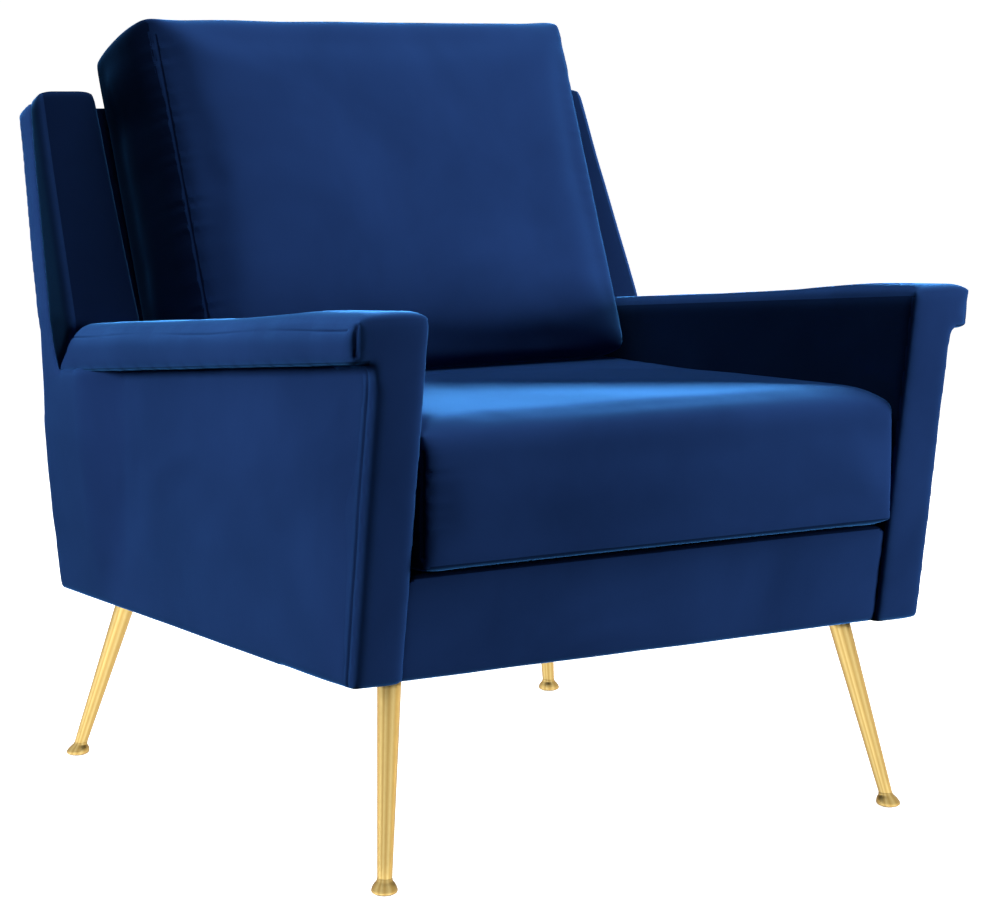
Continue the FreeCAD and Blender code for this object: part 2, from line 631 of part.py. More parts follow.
# ---- write one file per piece -------------------------------------------------------------------
os.makedirs("parts", exist_ok=True)
for name, shape in nodes.items():
    shape.exportStep("parts/%s.step" % name)
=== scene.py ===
import json
import math

import bmesh
import bpy
import numpy as np
from mathutils import Matrix, Vector
from mathutils.kdtree import KDTree

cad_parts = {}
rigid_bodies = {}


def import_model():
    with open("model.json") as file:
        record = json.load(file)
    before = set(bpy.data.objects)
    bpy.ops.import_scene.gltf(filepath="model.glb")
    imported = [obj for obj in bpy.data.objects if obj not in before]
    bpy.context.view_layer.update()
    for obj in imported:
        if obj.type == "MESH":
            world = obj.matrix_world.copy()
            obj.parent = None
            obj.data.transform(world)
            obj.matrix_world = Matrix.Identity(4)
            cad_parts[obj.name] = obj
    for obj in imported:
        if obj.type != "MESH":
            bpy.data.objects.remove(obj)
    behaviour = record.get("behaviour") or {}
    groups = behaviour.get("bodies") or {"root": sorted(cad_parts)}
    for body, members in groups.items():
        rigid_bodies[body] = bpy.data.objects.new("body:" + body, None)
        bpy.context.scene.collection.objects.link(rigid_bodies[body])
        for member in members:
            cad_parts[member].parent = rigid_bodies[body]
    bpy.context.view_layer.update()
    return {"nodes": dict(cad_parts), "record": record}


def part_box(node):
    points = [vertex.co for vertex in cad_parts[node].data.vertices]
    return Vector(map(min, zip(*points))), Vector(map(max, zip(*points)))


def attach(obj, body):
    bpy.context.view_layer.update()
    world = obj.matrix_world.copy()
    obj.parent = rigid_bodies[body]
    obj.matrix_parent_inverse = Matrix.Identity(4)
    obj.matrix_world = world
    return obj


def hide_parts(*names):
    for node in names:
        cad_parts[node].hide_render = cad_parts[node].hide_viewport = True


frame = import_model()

# Velvet lounge armchair on brass legs.  Metres, +Z up, the chair faces -Y, and "depth" is how far
# a point lies behind the body's front lower edge.  Pieces are made on the +X side and mirrored.

# ---- sizes, some of them read from the frame ------------------------------------------------------
MM = 0.001
FRONT_Y = -0.3524
BASE_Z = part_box("front_rail_pad")[0].z
HEM_Z = BASE_Z - 0.5 * MM     # the velvet's lower edges, at the front and at the rear
HEM_REAR_Z = BASE_Z - 3 * MM
ARM_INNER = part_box("inside_arm_pad_right")[0].x
BODY_HALF = 0.370
CAP_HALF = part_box("arm_cap_pad_right")[1].x
DECK_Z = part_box("seat_deck")[1].z
WING_TOP_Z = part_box("wing_pad_right")[1].z
WING_TOP_HALF = 0.380
ARM_FRONT_Z, CAP_FRONT_Z = 0.590, 0.545
ARM_LEAN, WING_SLOPE, CREASE_SLOPE, REAR_SLOPE = 0.1386, 0.46, 0.32, 0.32
ARM_REAR, CAP_REAR = (0.581, 0.530), (0.625, 0.475)      # (depth, height)
REAR_FOOT, REAR_BEND = (0.683, BASE_Z), (0.675, 0.511)
REST_FOOT, REST_KNEE_Z = 0.592, 0.480
RECLINE = math.atan(0.394)
BACK_REST_T = 0.4015
FLARE = (0.500, 0.580)
SEAT_LOW, SEAT_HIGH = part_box("seat_cushion_cover")
BACK_LOW, BACK_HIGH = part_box("back_cushion_cover")
BACK_FRONT_T, BACK_THICK, BACK_TOP_U = 0.2385, 0.157, 1.0499
LEG_TOP_Z, FOOT_Z = 0.216, 0.015
LEG_TOP_R, LEG_FOOT_R, LEG_OPENING_R = 0.0129, 0.0079, 0.015
LEG_TOPS = {"front": (0.294, 0.051), "rear": (0.292, 0.651)}   # (x, depth)
ZIP_HALF, ZIP_Z, BACK_ZIP_U = 0.225, 0.404, 0.660

SIDES = (("right", 1), ("left", -1))


# ---- the chair's side lines -----------------------------------------------------------------------
def line(a, b, at):
    """The value at `at` on the straight line through two (position, value) points."""
    return a[1] + (b[1] - a[1]) * (at - a[0]) / (b[0] - a[0])


def arm_front(z):
    return -ARM_LEAN * (z - BASE_Z)


def cap_under(depth):
    return line((arm_front(CAP_FRONT_Z), CAP_FRONT_Z), CAP_REAR, depth)


def cap_top(depth):
    return line((arm_front(ARM_FRONT_Z), ARM_FRONT_Z), ARM_REAR, depth)


def wing_front(z):
    return ARM_REAR[0] + WING_SLOPE * (z - ARM_REAR[1])


def crease(z):
    return CAP_REAR[0] + CREASE_SLOPE * (z - CAP_REAR[1])


def wing_top(depth):
    return WING_TOP_Z - WING_SLOPE * (depth - wing_front(WING_TOP_Z))


def rear(z):
    if z < REAR_BEND[1]:
        return line((REAR_FOOT[1], REAR_FOOT[0]), (REAR_BEND[1], REAR_BEND[0]), z)
    return REAR_BEND[0] + REAR_SLOPE * (z - REAR_BEND[1])


def rest(z):
    lean = math.tan(RECLINE)
    above = BACK_REST_T / math.cos(RECLINE)
    if z < REST_KNEE_Z:
        return line((DECK_Z, REST_FOOT), (REST_KNEE_Z, above + lean * REST_KNEE_Z), z)
    return above + lean * z


def meet(depth_of, height_of, z=WING_TOP_Z):
    """The (depth, height) where a rising line crosses a line across the chair, near height z."""
    for _ in range(40):
        z = height_of(depth_of(z))
    return depth_of(z), z


def outer_half(z):
    """Half width of the flared outside: swelling from the base to the arm cap, then drawing in."""
    heights = (BASE_Z, 0.304, 0.406, 0.508, 0.540, WING_TOP_Z)
    return np.interp(z, heights, (0.3705, 0.3835, 0.3925, CAP_HALF + 1.5 * MM,
                                  CAP_HALF + 1.5 * MM, WING_TOP_HALF + 1.5 * MM))


def smooth_step(t):
    t = np.clip(t, 0, 1)
    return t * t * (3 - 2 * t)


# ---- mesh helpers ---------------------------------------------------------------------------------
def new_object(name, verts, faces):
    mesh = bpy.data.meshes.new(name)
    mesh.from_pydata([tuple(v) for v in verts], [], faces)
    mesh.update()
    obj = bpy.data.objects.new(name, mesh)
    bpy.context.scene.collection.objects.link(obj)
    return obj


def slab(outline, x0, x1):
    """A solid with a (depth, height) outline, between two planes of constant x."""
    n = len(outline)
    verts = [(x, FRONT_Y + depth, z) for x in (x0, x1) for depth, z in outline]
    faces = [tuple(range(n)), tuple(range(2 * n - 1, n - 1, -1))]
    faces += [(i, n + i, n + (i + 1) % n, (i + 1) % n) for i in range(n)]
    return verts, faces


def joined(name, solids):
    verts, faces = [], []
    for part_verts, part_faces in solids:
        faces += [tuple(len(verts) + i for i in face) for face in part_faces]
        verts += part_verts
    return new_object(name, verts, faces)


def bake_modifiers(obj):
    graph = bpy.context.evaluated_depsgraph_get()
    graph.update()
    mesh = bpy.data.meshes.new_from_object(obj.evaluated_get(graph))
    obj.modifiers.clear()
    old, obj.data = obj.data, mesh
    bpy.data.meshes.remove(old)


def remesh(obj, voxel):
    modifier = obj.modifiers.new("remesh", "REMESH")
    modifier.mode = "VOXEL"
    modifier.voxel_size = voxel
    bake_modifiers(obj)


def get_points(obj):
    co = np.zeros(len(obj.data.vertices) * 3)
    obj.data.vertices.foreach_get("co", co)
    return co.reshape(-1, 3)


def set_points(obj, co):
    obj.data.vertices.foreach_set("co", np.ascontiguousarray(co, np.float32).ravel())
    obj.data.update()


def get_normals(obj):
    out = np.zeros(len(obj.data.vertices) * 3, np.float32)
    obj.data.vertex_normals.foreach_get("vector", out)
    return out.reshape(-1, 3).astype(float)


def get_edges(obj):
    out = np.zeros(len(obj.data.edges) * 2, np.int64)
    obj.data.edges.foreach_get("vertices", out)
    return out.reshape(-1, 2)


def neighbour_mean(values, edges):
    """For every point, the mean of its neighbours' values."""
    a, b = edges[:, 0], edges[:, 1]
    n = len(values)
    count = np.maximum(np.bincount(a, minlength=n) + np.bincount(b, minlength=n), 1)
    columns = [np.bincount(a, values[b, k], n) + np.bincount(b, values[a, k], n)
               for k in range(values.shape[1])]
    return np.stack(columns, 1) / count[:, None]


def soften(obj, rounds, weight=1.0):
    """Round the edges off by pulling every point towards its neighbours."""
    co, edges = get_points(obj), get_edges(obj)
    for _ in range(rounds):
        co = co + 0.5 * weight * (neighbour_mean(co, edges) - co)
    set_points(obj, co)


def push(obj, distance):
    """Move every point along its normal by its own distance."""
    set_points(obj, get_points(obj) + get_normals(obj) * np.asarray(distance)[:, None])


def ripple(co, wavelength, seed, waves=7):
    """A smooth irregular field from -1 to 1: a few plane waves in seeded directions."""
    rng = np.random.default_rng(seed)
    total = np.zeros(len(co))
    for _ in range(waves):
        direction = rng.normal(size=3)
        direction /= np.linalg.norm(direction)
        length = wavelength * rng.uniform(0.7, 1.5)
        total += np.sin(2 * math.pi * (co @ direction) / length + rng.uniform(0, 2 * math.pi))
    return total / waves * 1.6


def mirror(obj):
    obj.data.transform(Matrix.Diagonal((-1, 1, 1, 1)))
    obj.data.flip_normals()


def smooth_shaded(obj):
    obj.data.polygons.foreach_set("use_smooth", [True] * len(obj.data.polygons))


def rounded(a, b, radius):
    """Distances from the two faces of a square edge, moved so that the edge becomes an arc."""
    da, db = radius - a, radius - b
    shrink = radius / np.maximum(np.maximum(np.hypot(da, db), radius), 1e-9)
    scale = np.where((da > 0) & (db > 0), shrink, 1.0)
    return radius - da * scale, radius - db * scale


def dense(points, step=0.002):
    """Points every `step` along a path."""
    points = np.array(points, float)
    lengths = np.linalg.norm(np.diff(points, axis=0), axis=1)
    at = np.concatenate([[0], np.cumsum(lengths)])
    along = np.arange(0, at[-1] + step / 2, step)
    return np.stack([np.interp(along, at, points[:, k]) for k in range(3)], 1), along


def measure_to(path, co, reach):
    """Distance to the path, and place along it, of every point within reach of it."""
    samples, along = dense(path)
    distance = np.full(len(co), np.inf)
    place = np.zeros(len(co))
    low, high = samples.min(0) - reach, samples.max(0) + reach
    tree = KDTree(len(samples))
    for i, sample in enumerate(samples):
        tree.insert(sample, i)
    tree.balance()
    for i in np.flatnonzero(((co > low) & (co < high)).all(1)):
        _, index, gap = tree.find(co[i])
        if gap < reach:
            distance[i], place[i] = gap, along[index]
    return distance, place


def refine_near(obj, path, reaches):
    """Split the faces near a path, once for each reach, so that a narrow seam has a shape."""
    for reach in reaches:
        near = measure_to(path, get_points(obj), reach)[0] < reach
        bm = bmesh.new()
        bm.from_mesh(obj.data)
        bm.verts.ensure_lookup_table()
        edges = [e for e in bm.edges if near[e.verts[0].index] and near[e.verts[1].index]]
        bmesh.ops.subdivide_edges(bm, edges=edges, cuts=1, use_grid_fill=True)
        bmesh.ops.triangulate(bm, faces=[f for f in bm.faces if len(f.verts) > 4])
        bm.to_mesh(obj.data)
        bm.free()


def mark(obj, name, values):
    """Keep a number per point, for the material to read."""
    attribute = obj.data.attributes.get(name) or obj.data.attributes.new(name, "FLOAT", "POINT")
    old = np.zeros(len(obj.data.vertices), np.float32)
    attribute.data.foreach_get("value", old)
    attribute.data.foreach_set("value", np.maximum(old, values).astype(np.float32))


def seam(obj, path, width=1.3 * MM, depth=1.3 * MM, gathers=0.0, pitch=9 * MM, spread=16 * MM,
         seed=1, reaches=(9 * MM, 5 * MM), dark=1.0):
    """Sink a seam along a path, with gathers that fan out from it and fade, and paint shade along it.
    """
    refine_near(obj, path, reaches)
    co = get_points(obj)
    reach = max(4 * width, 3 * spread if gathers else 0)
    distance, place = measure_to(path, co, reach)
    distance = np.minimum(distance, reach)
    sink = depth * np.exp(-(distance / width) ** 2)
    if gathers:
        rng = np.random.default_rng(seed)
        knots = np.arange(0, place.max() + 2 * pitch, pitch)
        heights = rng.uniform(-1, 1, len(knots))
        wave = np.interp(place, knots, heights)
        fade = np.exp(-distance / spread) * (1 - np.exp(-(distance / (2 * width)) ** 2))
        sink = sink - gathers * wave * fade
    push(obj, -sink)
    # Painted shade along the seam line: the velvet is darkened there.
    mark(obj, "seam", dark * np.exp(-(distance / (0.9 * width)) ** 2))


def mark_rims(obj, rounds=2):
    """Note where the cloth turns over an edge, from 0 on the flat to 1 on a tight turn."""
    co, edges = get_points(obj), get_edges(obj)
    away = -((neighbour_mean(co, edges) - co) * get_normals(obj)).sum(1)
    span = np.linalg.norm(co[edges[:, 0]] - co[edges[:, 1]], axis=1)
    n = len(co)
    mean_span = ((np.bincount(edges[:, 0], span, n) + np.bincount(edges[:, 1], span, n))
                 / np.maximum(np.bincount(edges.ravel(), minlength=n), 1))
    bend = (away / np.maximum(mean_span, 1e-6) ** 2)[:, None]
    for _ in range(rounds):
        bend = 0.5 * bend + 0.5 * neighbour_mean(bend, edges)
    mark(obj, "rim", np.clip(bend[:, 0] / 60.0, 0, 1))


def shade(obj, chosen, cuts=(), material=None):
    """Give the chosen faces a second, darker material as painted shade; chosen(centres, normals) is a
    mask.

    The faces are first split along each plane in cuts (a point and a normal), for a straight edge.
    """
    for cut in cuts:
        bm = bmesh.new()
        bm.from_mesh(obj.data)
        bmesh.ops.bisect_plane(bm, geom=bm.verts[:] + bm.edges[:] + bm.faces[:],
                               plane_co=cut[0], plane_no=cut[1], dist=1e-6)
        bm.to_mesh(obj.data)
        bm.free()
    count = len(obj.data.polygons)
    centres, normals = np.zeros(count * 3, np.float32), np.zeros(count * 3, np.float32)
    obj.data.polygons.foreach_get("center", centres)
    obj.data.polygons.foreach_get("normal", normals)
    mask = chosen(centres.reshape(-1, 3), normals.reshape(-1, 3))
    obj.data.materials.append(material or VELVET_SHADED)
    obj.data.polygons.foreach_set("material_index", mask.astype(np.int32))


def finish_piece(obj, material, body, replaced=()):
    if obj.data.materials:
        obj.data.materials.clear()
    obj.data.materials.append(material)
    smooth_shaded(obj)
    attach(obj, body)
    if replaced:
        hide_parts(*replaced)
    return obj


# ---- materials ------------------------------------------------------------------------------------
class Nodes:
    """A small helper for building a material's node tree."""

    def __init__(self, name):
        self.material = bpy.data.materials.new(name)
        self.material.use_nodes = True
        self.tree = self.material.node_tree
        self.shader = self.tree.nodes["Principled BSDF"]
        self.coords = self.tree.nodes.new("ShaderNodeTexCoord").outputs["Object"]

    def link(self, output, socket):
        self.tree.links.new(output, socket)

    def stretched(self, scale):
        node = self.tree.nodes.new("ShaderNodeMapping")
        node.inputs["Scale"].default_value = scale
        self.link(self.coords, node.inputs["Vector"])
        return node.outputs["Vector"]

    def noise(self, scale, detail=2.0, coords=None, distortion=0.0):
        node = self.tree.nodes.new("ShaderNodeTexNoise")
        node.inputs["Scale"].default_value = scale
        node.inputs["Detail"].default_value = detail
        node.inputs["Distortion"].default_value = distortion
        self.link(coords or self.coords, node.inputs["Vector"])
        return node.outputs["Fac"]

    def wave(self, scale, direction, distortion=0.0, coords=None):
        node = self.tree.nodes.new("ShaderNodeTexWave")
        node.bands_direction = direction
        node.inputs["Scale"].default_value = scale
        node.inputs["Distortion"].default_value = distortion
        self.link(coords or self.coords, node.inputs["Vector"])
        return node.outputs["Fac"]

    def ramp(self, value, stops):
        node = self.tree.nodes.new("ShaderNodeValToRGB")
        elements = node.color_ramp.elements
        while len(elements) < len(stops):
            elements.new(0.5)
        for element, (at, color) in zip(elements, stops):
            element.position = at
            element.color = (*color, 1)
        self.link(value, node.inputs["Fac"])
        return node.outputs["Color"]

    def remap(self, value, low, high):
        node = self.tree.nodes.new("ShaderNodeMapRange")
        node.inputs["To Min"].default_value = low
        node.inputs["To Max"].default_value = high
        self.link(value, node.inputs["Value"])
        return node.outputs["Result"]

    def attribute(self, name):
        node = self.tree.nodes.new("ShaderNodeAttribute")
        node.attribute_name = name
        return node.outputs["Fac"]

    def mix(self, factor, a, b):
        """a where factor is 0, b where it is 1; b is a colour or an output."""
        node = self.tree.nodes.new("ShaderNodeMix")
        node.data_type = "RGBA"
        self.link(factor, node.inputs["Factor"])
        self.link(a, node.inputs["A"])
        if isinstance(b, tuple):
            node.inputs["B"].default_value = (*b, 1)
        else:
            self.link(b, node.inputs["B"])
        return node.outputs["Result"]

    def bump(self, height, strength, distance, below=None):
        node = self.tree.nodes.new("ShaderNodeBump")
        node.inputs["Strength"].default_value = strength
        node.inputs["Distance"].default_value = distance
        self.link(height, node.inputs["Height"])
        if below is not None:
            self.link(below, node.inputs["Normal"])
        return node.outputs["Normal"]

    def finish(self, color, roughness, normal=None, **constants):
        self.link(color, self.shader.inputs["Base Color"])
        if isinstance(roughness, float):
            self.shader.inputs["Roughness"].default_value = roughness
        else:
            self.link(roughness, self.shader.inputs["Roughness"])
        if normal is not None:
            self.link(normal, self.shader.inputs["Normal"])
        for name, value in constants.items():
            self.shader.inputs[name.replace("_", " ")].default_value = value
        return self.material


def velvet(name, share=1.0, sheen=1.0):
    """Deep blue pile: brushed patches, edges paler from crushed pile and a painted highlight, painted
    shade in the seams, strong sheen.

    With a smaller share and sheen it is a darker copy of the cloth, used as painted shade.
    """
    def blue(red, green, blue_part):
        return red * share, green * share, blue_part * share

    n = Nodes(name)
    patches = n.noise(5.5, 4.0, distortion=0.6)
    color = n.ramp(patches, [(0.30, blue(0.0064, 0.0185, 0.070)), (0.70, blue(0.0094, 0.027, 0.100))])
    streaks = n.noise(1.0, 3.0, coords=n.stretched((26, 26, 7)))
    color = n.mix(n.remap(streaks, 0.0, 0.35), color, blue(0.0060, 0.0150, 0.060))
    # Paler on tight edges: partly crushed pile, partly a painted highlight of the sheen there.
    color = n.mix(n.remap(n.attribute("rim"), 0.0, 0.20), color, blue(0.016, 0.070, 0.22))
    # Painted shade: darker where the seam mark is set, along seams and below the caps and the cushion.
    color = n.mix(n.remap(n.attribute("seam"), 0.0, 0.75), color, (0.002, 0.006, 0.022))
    pile = n.noise(2600, 2.0)
    lay = n.noise(60, 3.0)
    normal = n.bump(pile, 0.25, 0.0003, n.bump(lay, 0.12, 0.0012))
    roughness = n.remap(n.noise(9.0, 3.0), 0.78, 0.95)
    return n.finish(color, roughness, normal, Sheen_Weight=sheen, Sheen_Roughness=0.33,
                    Sheen_Tint=(0.085, 0.38, 1.0, 1), Specular_IOR_Level=0.0)


def brushed_brass():
    """Satin brass, brushed along the leg, with painted reflections: paler and darker bands running
    down it.
    """
    n = Nodes("brushed_brass")
    fine = n.noise(1.0, 4.0, coords=n.stretched((700, 700, 12)))
    dark, mid, pale = (0.27, 0.155, 0.040), (0.45, 0.295, 0.088), (0.63, 0.49, 0.20)
    # Painted reflections: the colour runs round the leg in fixed paler and darker bands.
    color = n.ramp(n.attribute("band"), [(0.0, dark), (0.08, mid), (0.20, pale), (0.31, mid),
                                         (0.38, pale), (0.53, mid), (0.70, pale), (0.82, mid),
                                         (0.95, mid), (1.0, dark)])
    color = n.mix(n.remap(fine, 0.0, 0.30), color, (0.40, 0.25, 0.07))
    normal = n.bump(fine, 0.12, 0.0002)
    return n.finish(color, n.remap(fine, 0.36, 0.50), normal, Metallic=1.0)


def cloth(name, dark, light, weave, roughness=0.9, bump=0.4):
    """A plain woven cloth with its threads at `weave` per metre."""
    n = Nodes(name)
    threads = n.wave(weave, "X", 0.4)
    picks = n.wave(weave, "Y", 0.4)
    color = n.ramp(n.noise(14, 4.0), [(0.3, dark), (0.7, light)])
    color = n.mix(n.remap(threads, 0.0, 0.3), color, dark)
    normal = n.bump(threads, bump, 0.0003, n.bump(picks, bump, 0.0003))
    return n.finish(color, roughness, normal)


def timber():
    n = Nodes("pale_timber")
    grain = n.noise(1.0, 5.0, coords=n.stretched((6, 60, 60)), distortion=0.8)
    color = n.ramp(grain, [(0.3, (0.42, 0.27, 0.13)), (0.7, (0.66, 0.47, 0.27))])
    return n.finish(color, n.remap(grain, 0.5, 0.7), n.bump(grain, 0.2, 0.0006))


def metal(name, dark, light, roughness=(0.25, 0.4)):
    n = Nodes(name)
    marks = n.noise(220, 4.0)
    color = n.ramp(marks, [(0.3, dark), (0.7, light)])
    return n.finish(color, n.remap(marks, *roughness), n.bump(marks, 0.05, 0.0002), Metallic=1.0)


def moulded(name, dark, light):
    n = Nodes(name)
    grain = n.noise(700, 3.0)
    color = n.ramp(n.noise(40, 3.0), [(0.3, dark), (0.7, light)])
    return n.finish(color, 0.6, n.bump(grain, 0.15, 0.0002))


VELVET, BRASS = velvet("navy_velvet"), brushed_brass()
# A darker copy of the velvet with less sheen: painted shade for faces meant to lie in shade.
VELVET_SHADED = velvet("navy_velvet_shaded", 0.45, 0.30)
# A near-black copy of the velvet without sheen: painted shadow.
VELVET_PAINTED_SHADOW = velvet("navy_velvet_hidden", 0.12, 0.0)
MATERIALS = {
    "velvet": VELVET,
    "brass": BRASS,
    "timber": timber(),
    "plated_steel": metal("zinc_plate", (0.42, 0.42, 0.44), (0.62, 0.62, 0.65)),
    "spring_wire": metal("spring_wire", (0.10, 0.10, 0.11), (0.24, 0.24, 0.26)),
    "webbing": cloth("elastic_webbing", (0.012, 0.012, 0.013), (0.035, 0.033, 0.03), 420),
    "felt": cloth("grey_felt", (0.18, 0.18, 0.17), (0.30, 0.30, 0.28), 150, bump=0.15),
    "deck_cloth": cloth("deck_cloth", (0.008, 0.018, 0.055), (0.014, 0.030, 0.085), 260),
    "dust_cloth": cloth("dust_cloth", (0.008, 0.008, 0.009), (0.020, 0.020, 0.022), 330),
    "foam": moulded("cushion_foam", (0.62, 0.56, 0.40), (0.74, 0.69, 0.54)),
    "zip_tape": cloth("zip_tape", (0.006, 0.016, 0.06), (0.010, 0.026, 0.09), 600),
    "zip_metal": metal("zip_metal", (0.45, 0.32, 0.14), (0.66, 0.50, 0.26)),
    "glide": moulded("glide_plastic", (0.015, 0.015, 0.015), (0.03, 0.03, 0.03)),
}
slots = {part["node"]: part["material_slot"] for part in frame["record"]["subparts"]}
for node_name, node in frame["nodes"].items():
    node.data.materials.clear()
    node.data.materials.append(MATERIALS[slots[node_name]])


# ---- camera and lights ----------------------------------------------------------------------------
def add_camera():
    data = bpy.data.cameras.new("camera")
    data.lens, data.sensor_width = 106.945, 36.0
    data.clip_end = 100
    camera = bpy.data.objects.new("camera", data)
    bpy.context.scene.collection.objects.link(camera)
    yaw, pitch, roll = (math.radians(a) for a in (32.89, 7.91, 0.27))
    turn = (Matrix.Rotation(-yaw, 4, "Z") @ Matrix.Rotation(math.pi / 2 - pitch, 4, "X")
            @ Matrix.Rotation(roll, 4, "Z"))
    camera.matrix_world = Matrix.Translation((-1.806, -2.8364, 0.847)) @ turn
    bpy.context.scene.camera = camera


def add_light(name, place, aim, size, power, color=(1, 1, 1)):
    data = bpy.data.lights.new(name, "AREA")
    data.shape, data.size, data.energy, data.color = "DISK", size, power, color
    light = bpy.data.objects.new(name, data)
    bpy.context.scene.collection.objects.link(light)
    light.location = place
    light.visible_glossy = False
    light.rotation_euler = (Vector(aim) - Vector(place)).to_track_quat("-Z", "Y").to_euler()
    return light


def glow(obj, name, light):
    """A pale stage surface that shines a little by itself, and lights nothing else."""
    n = Nodes(name)
    color = n.ramp(n.noise(1.5), [(0.3, (0.78, 0.78, 0.78)), (0.7, (0.82, 0.82, 0.82))])
    obj.data.materials.append(n.finish(color, 0.9, None, Specular_IOR_Level=0.0,
                                       Emission_Strength=light, Emission_Color=(1, 1, 1, 1)))
    obj.visible_diffuse = False


def add_stage():
    reach, height = 24.0, 14.0
    floor = new_object("floor", [(-reach, -reach, 0), (reach, -reach, 0), (reach, reach, 0),
                                 (-reach, reach, 0)], [(0, 1, 2, 3)])
    glow(floor, "pale_floor", FLOOR_GLOW)
    ring = [(reach * math.cos(a), reach * math.sin(a)) for a in np.linspace(0, 2 * math.pi, 49)[:-1]]
    count = len(ring)
    walls = new_object("backdrop", [(x, y, -0.5) for x, y in ring] + [(x, y, height) for x, y in ring],
                       [(i, (i + 1) % count, count + (i + 1) % count, count + i)
                        for i in range(count)] + [tuple(range(2 * count - 1, count - 1, -1))])
    glow(walls, "pale_backdrop", 1.0)
    walls.visible_shadow = False
    world = bpy.data.worlds.new("studio")
    world.use_nodes = True
    world.node_tree.nodes["Background"].inputs["Color"].default_value = (1, 1, 1, 1)
    world.node_tree.nodes["Background"].inputs["Strength"].default_value = WORLD_LIGHT
    bpy.context.scene.world = world
    add_light("right_front", (2.3, -1.7, 0.66), (0, -0.1, 0.42), 1.0, 155)
    add_light("top", (0.0, 0.05, 3.2), (0, 0, 0.5), 2.0, 110)
    bpy.context.scene.view_settings.view_transform = "Standard"


FLOOR_GLOW, WORLD_LIGHT = 1.0, 0.03
add_camera()
add_stage()


# ---- upholstered frame ----------------------------------------------------------------------------
def arm_cover(side, sign):
    """One velvet cover: the overhanging cap, the inside of the arm and the front facing."""
    front_low = (arm_front(HEM_Z), HEM_Z)
    nose = [(arm_front(CAP_FRONT_Z), CAP_FRONT_Z), (arm_front(ARM_FRONT_Z), ARM_FRONT_Z)]
    cap = slab([nose[0], nose[1], ARM_REAR, (0.640, 0.530), (0.640, 0.475), CAP_REAR],
               ARM_INNER, CAP_HALF)
    post_depth = 0.070
    post_half = BODY_HALF - 1.2 * MM
    post = slab([front_low, nose[0], (nose[0][0] + post_depth, CAP_FRONT_Z),
                 (front_low[0] + post_depth, HEM_Z)], ARM_INNER, post_half)
    inside = slab([(0.010, 0.300), (arm_front(0.540) + 0.02, 0.560), (0.600, 0.510),
                   (0.650, 0.470), (0.650, 0.300)], ARM_INNER, ARM_INNER + 0.030)
    obj = joined("arm_cover_" + side, [cap, post, inside])
    remesh(obj, 4 * MM)
    soften(obj, 3)
    round_arm(obj, post_half, corner=(6 if sign > 0 else 13) * MM)
    soften(obj, 4)

    co = get_points(obj)
    depth = co[:, 1] - FRONT_Y
    normals = get_normals(obj)
    on_top = smooth_step((normals[:, 2] - 0.4) / 0.5)
    across = np.clip((co[:, 0] - ARM_INNER) / (CAP_HALF - ARM_INNER), 0, 1)
    dome = np.sqrt(np.clip(1 - (2 * across - 1) ** 2, 0, 1))
    swell = 2.0 * MM + 4.5 * MM * np.exp(-((depth - 0.07) / 0.11) ** 2)
    face = smooth_step((-normals[:, 1] - 0.5) / 0.4)
    push(obj, 1.2 * MM + on_top * swell * dome + face * 1.6 * MM * dome
         + 0.5 * MM * ripple(co, 0.16, 11 + sign) + 0.25 * MM * ripple(co, 0.06, 21 + sign))

    top_seam = [(CAP_HALF - 1.2 * MM, FRONT_Y + d,
                 cap_top(d) - 10.0 * MM + 1.3 * MM * math.sin(d * 21 + sign))
                for d in np.linspace(-0.036, 0.592, 40)]
    seam(obj, top_seam, width=1.2 * MM, depth=1.0 * MM, gathers=0.5 * MM, pitch=24 * MM,
         spread=12 * MM, seed=5 + sign)
    tuck = [(CAP_HALF - 4 * MM - 2 * MM * t, FRONT_Y + arm_front(z) + 3 * MM - 1 * MM * t, z)
            for t, z in zip(np.linspace(0, 1, 8), np.linspace(0.580, 0.553, 8))]
    seam(obj, tuck, width=3.4 * MM, depth=3.2 * MM, gathers=0.7 * MM, pitch=12 * MM,
         spread=12 * MM, seed=9 + sign)
    groove = [(post_half - 0.6 * MM, FRONT_Y + arm_front(z) + 10.5 * MM, z)
              for z in np.linspace(HEM_Z, CAP_FRONT_Z - 4 * MM, 30)]
    seam(obj, groove, width=2.4 * MM, depth=2.0 * MM)
    mark_rims(obj)
    if sign < 0:
        mirror(obj)
    nodes = ["arm_cap_pad_" + side, "arm_front_pad_" + side, "inside_arm_pad_" + side]
    finish_piece(obj, VELVET, "frame", nodes)
    # Painted shade: the inside of the arm below the cap's edge, and a lip under the cap, get the
    # darker velvet, split along two straight cuts.
    edge, lip = 7 * MM, 2.5 * MM
    cuts = [((0, FRONT_Y, top(0.0) + shift), (0, 2 * (top(0.0) - top(0.5)), 1))
            for top, shift in ((cap_top, -edge), (cap_under, lip))]

    def painted_shade_faces(at, facing):
        across, depth, z = sign * at[:, 0], at[:, 1] - FRONT_Y, at[:, 2]
        inside = (across < ARM_INNER + 0.030) & (z < cap_top(depth) - edge) & (facing[:, 1] > -0.5)
        above_under = z - cap_under(depth)
        return inside | ((across > BODY_HALF + 3 * MM) & (np.abs(above_under) < lip))

    shade(obj, painted_shade_faces, cuts)


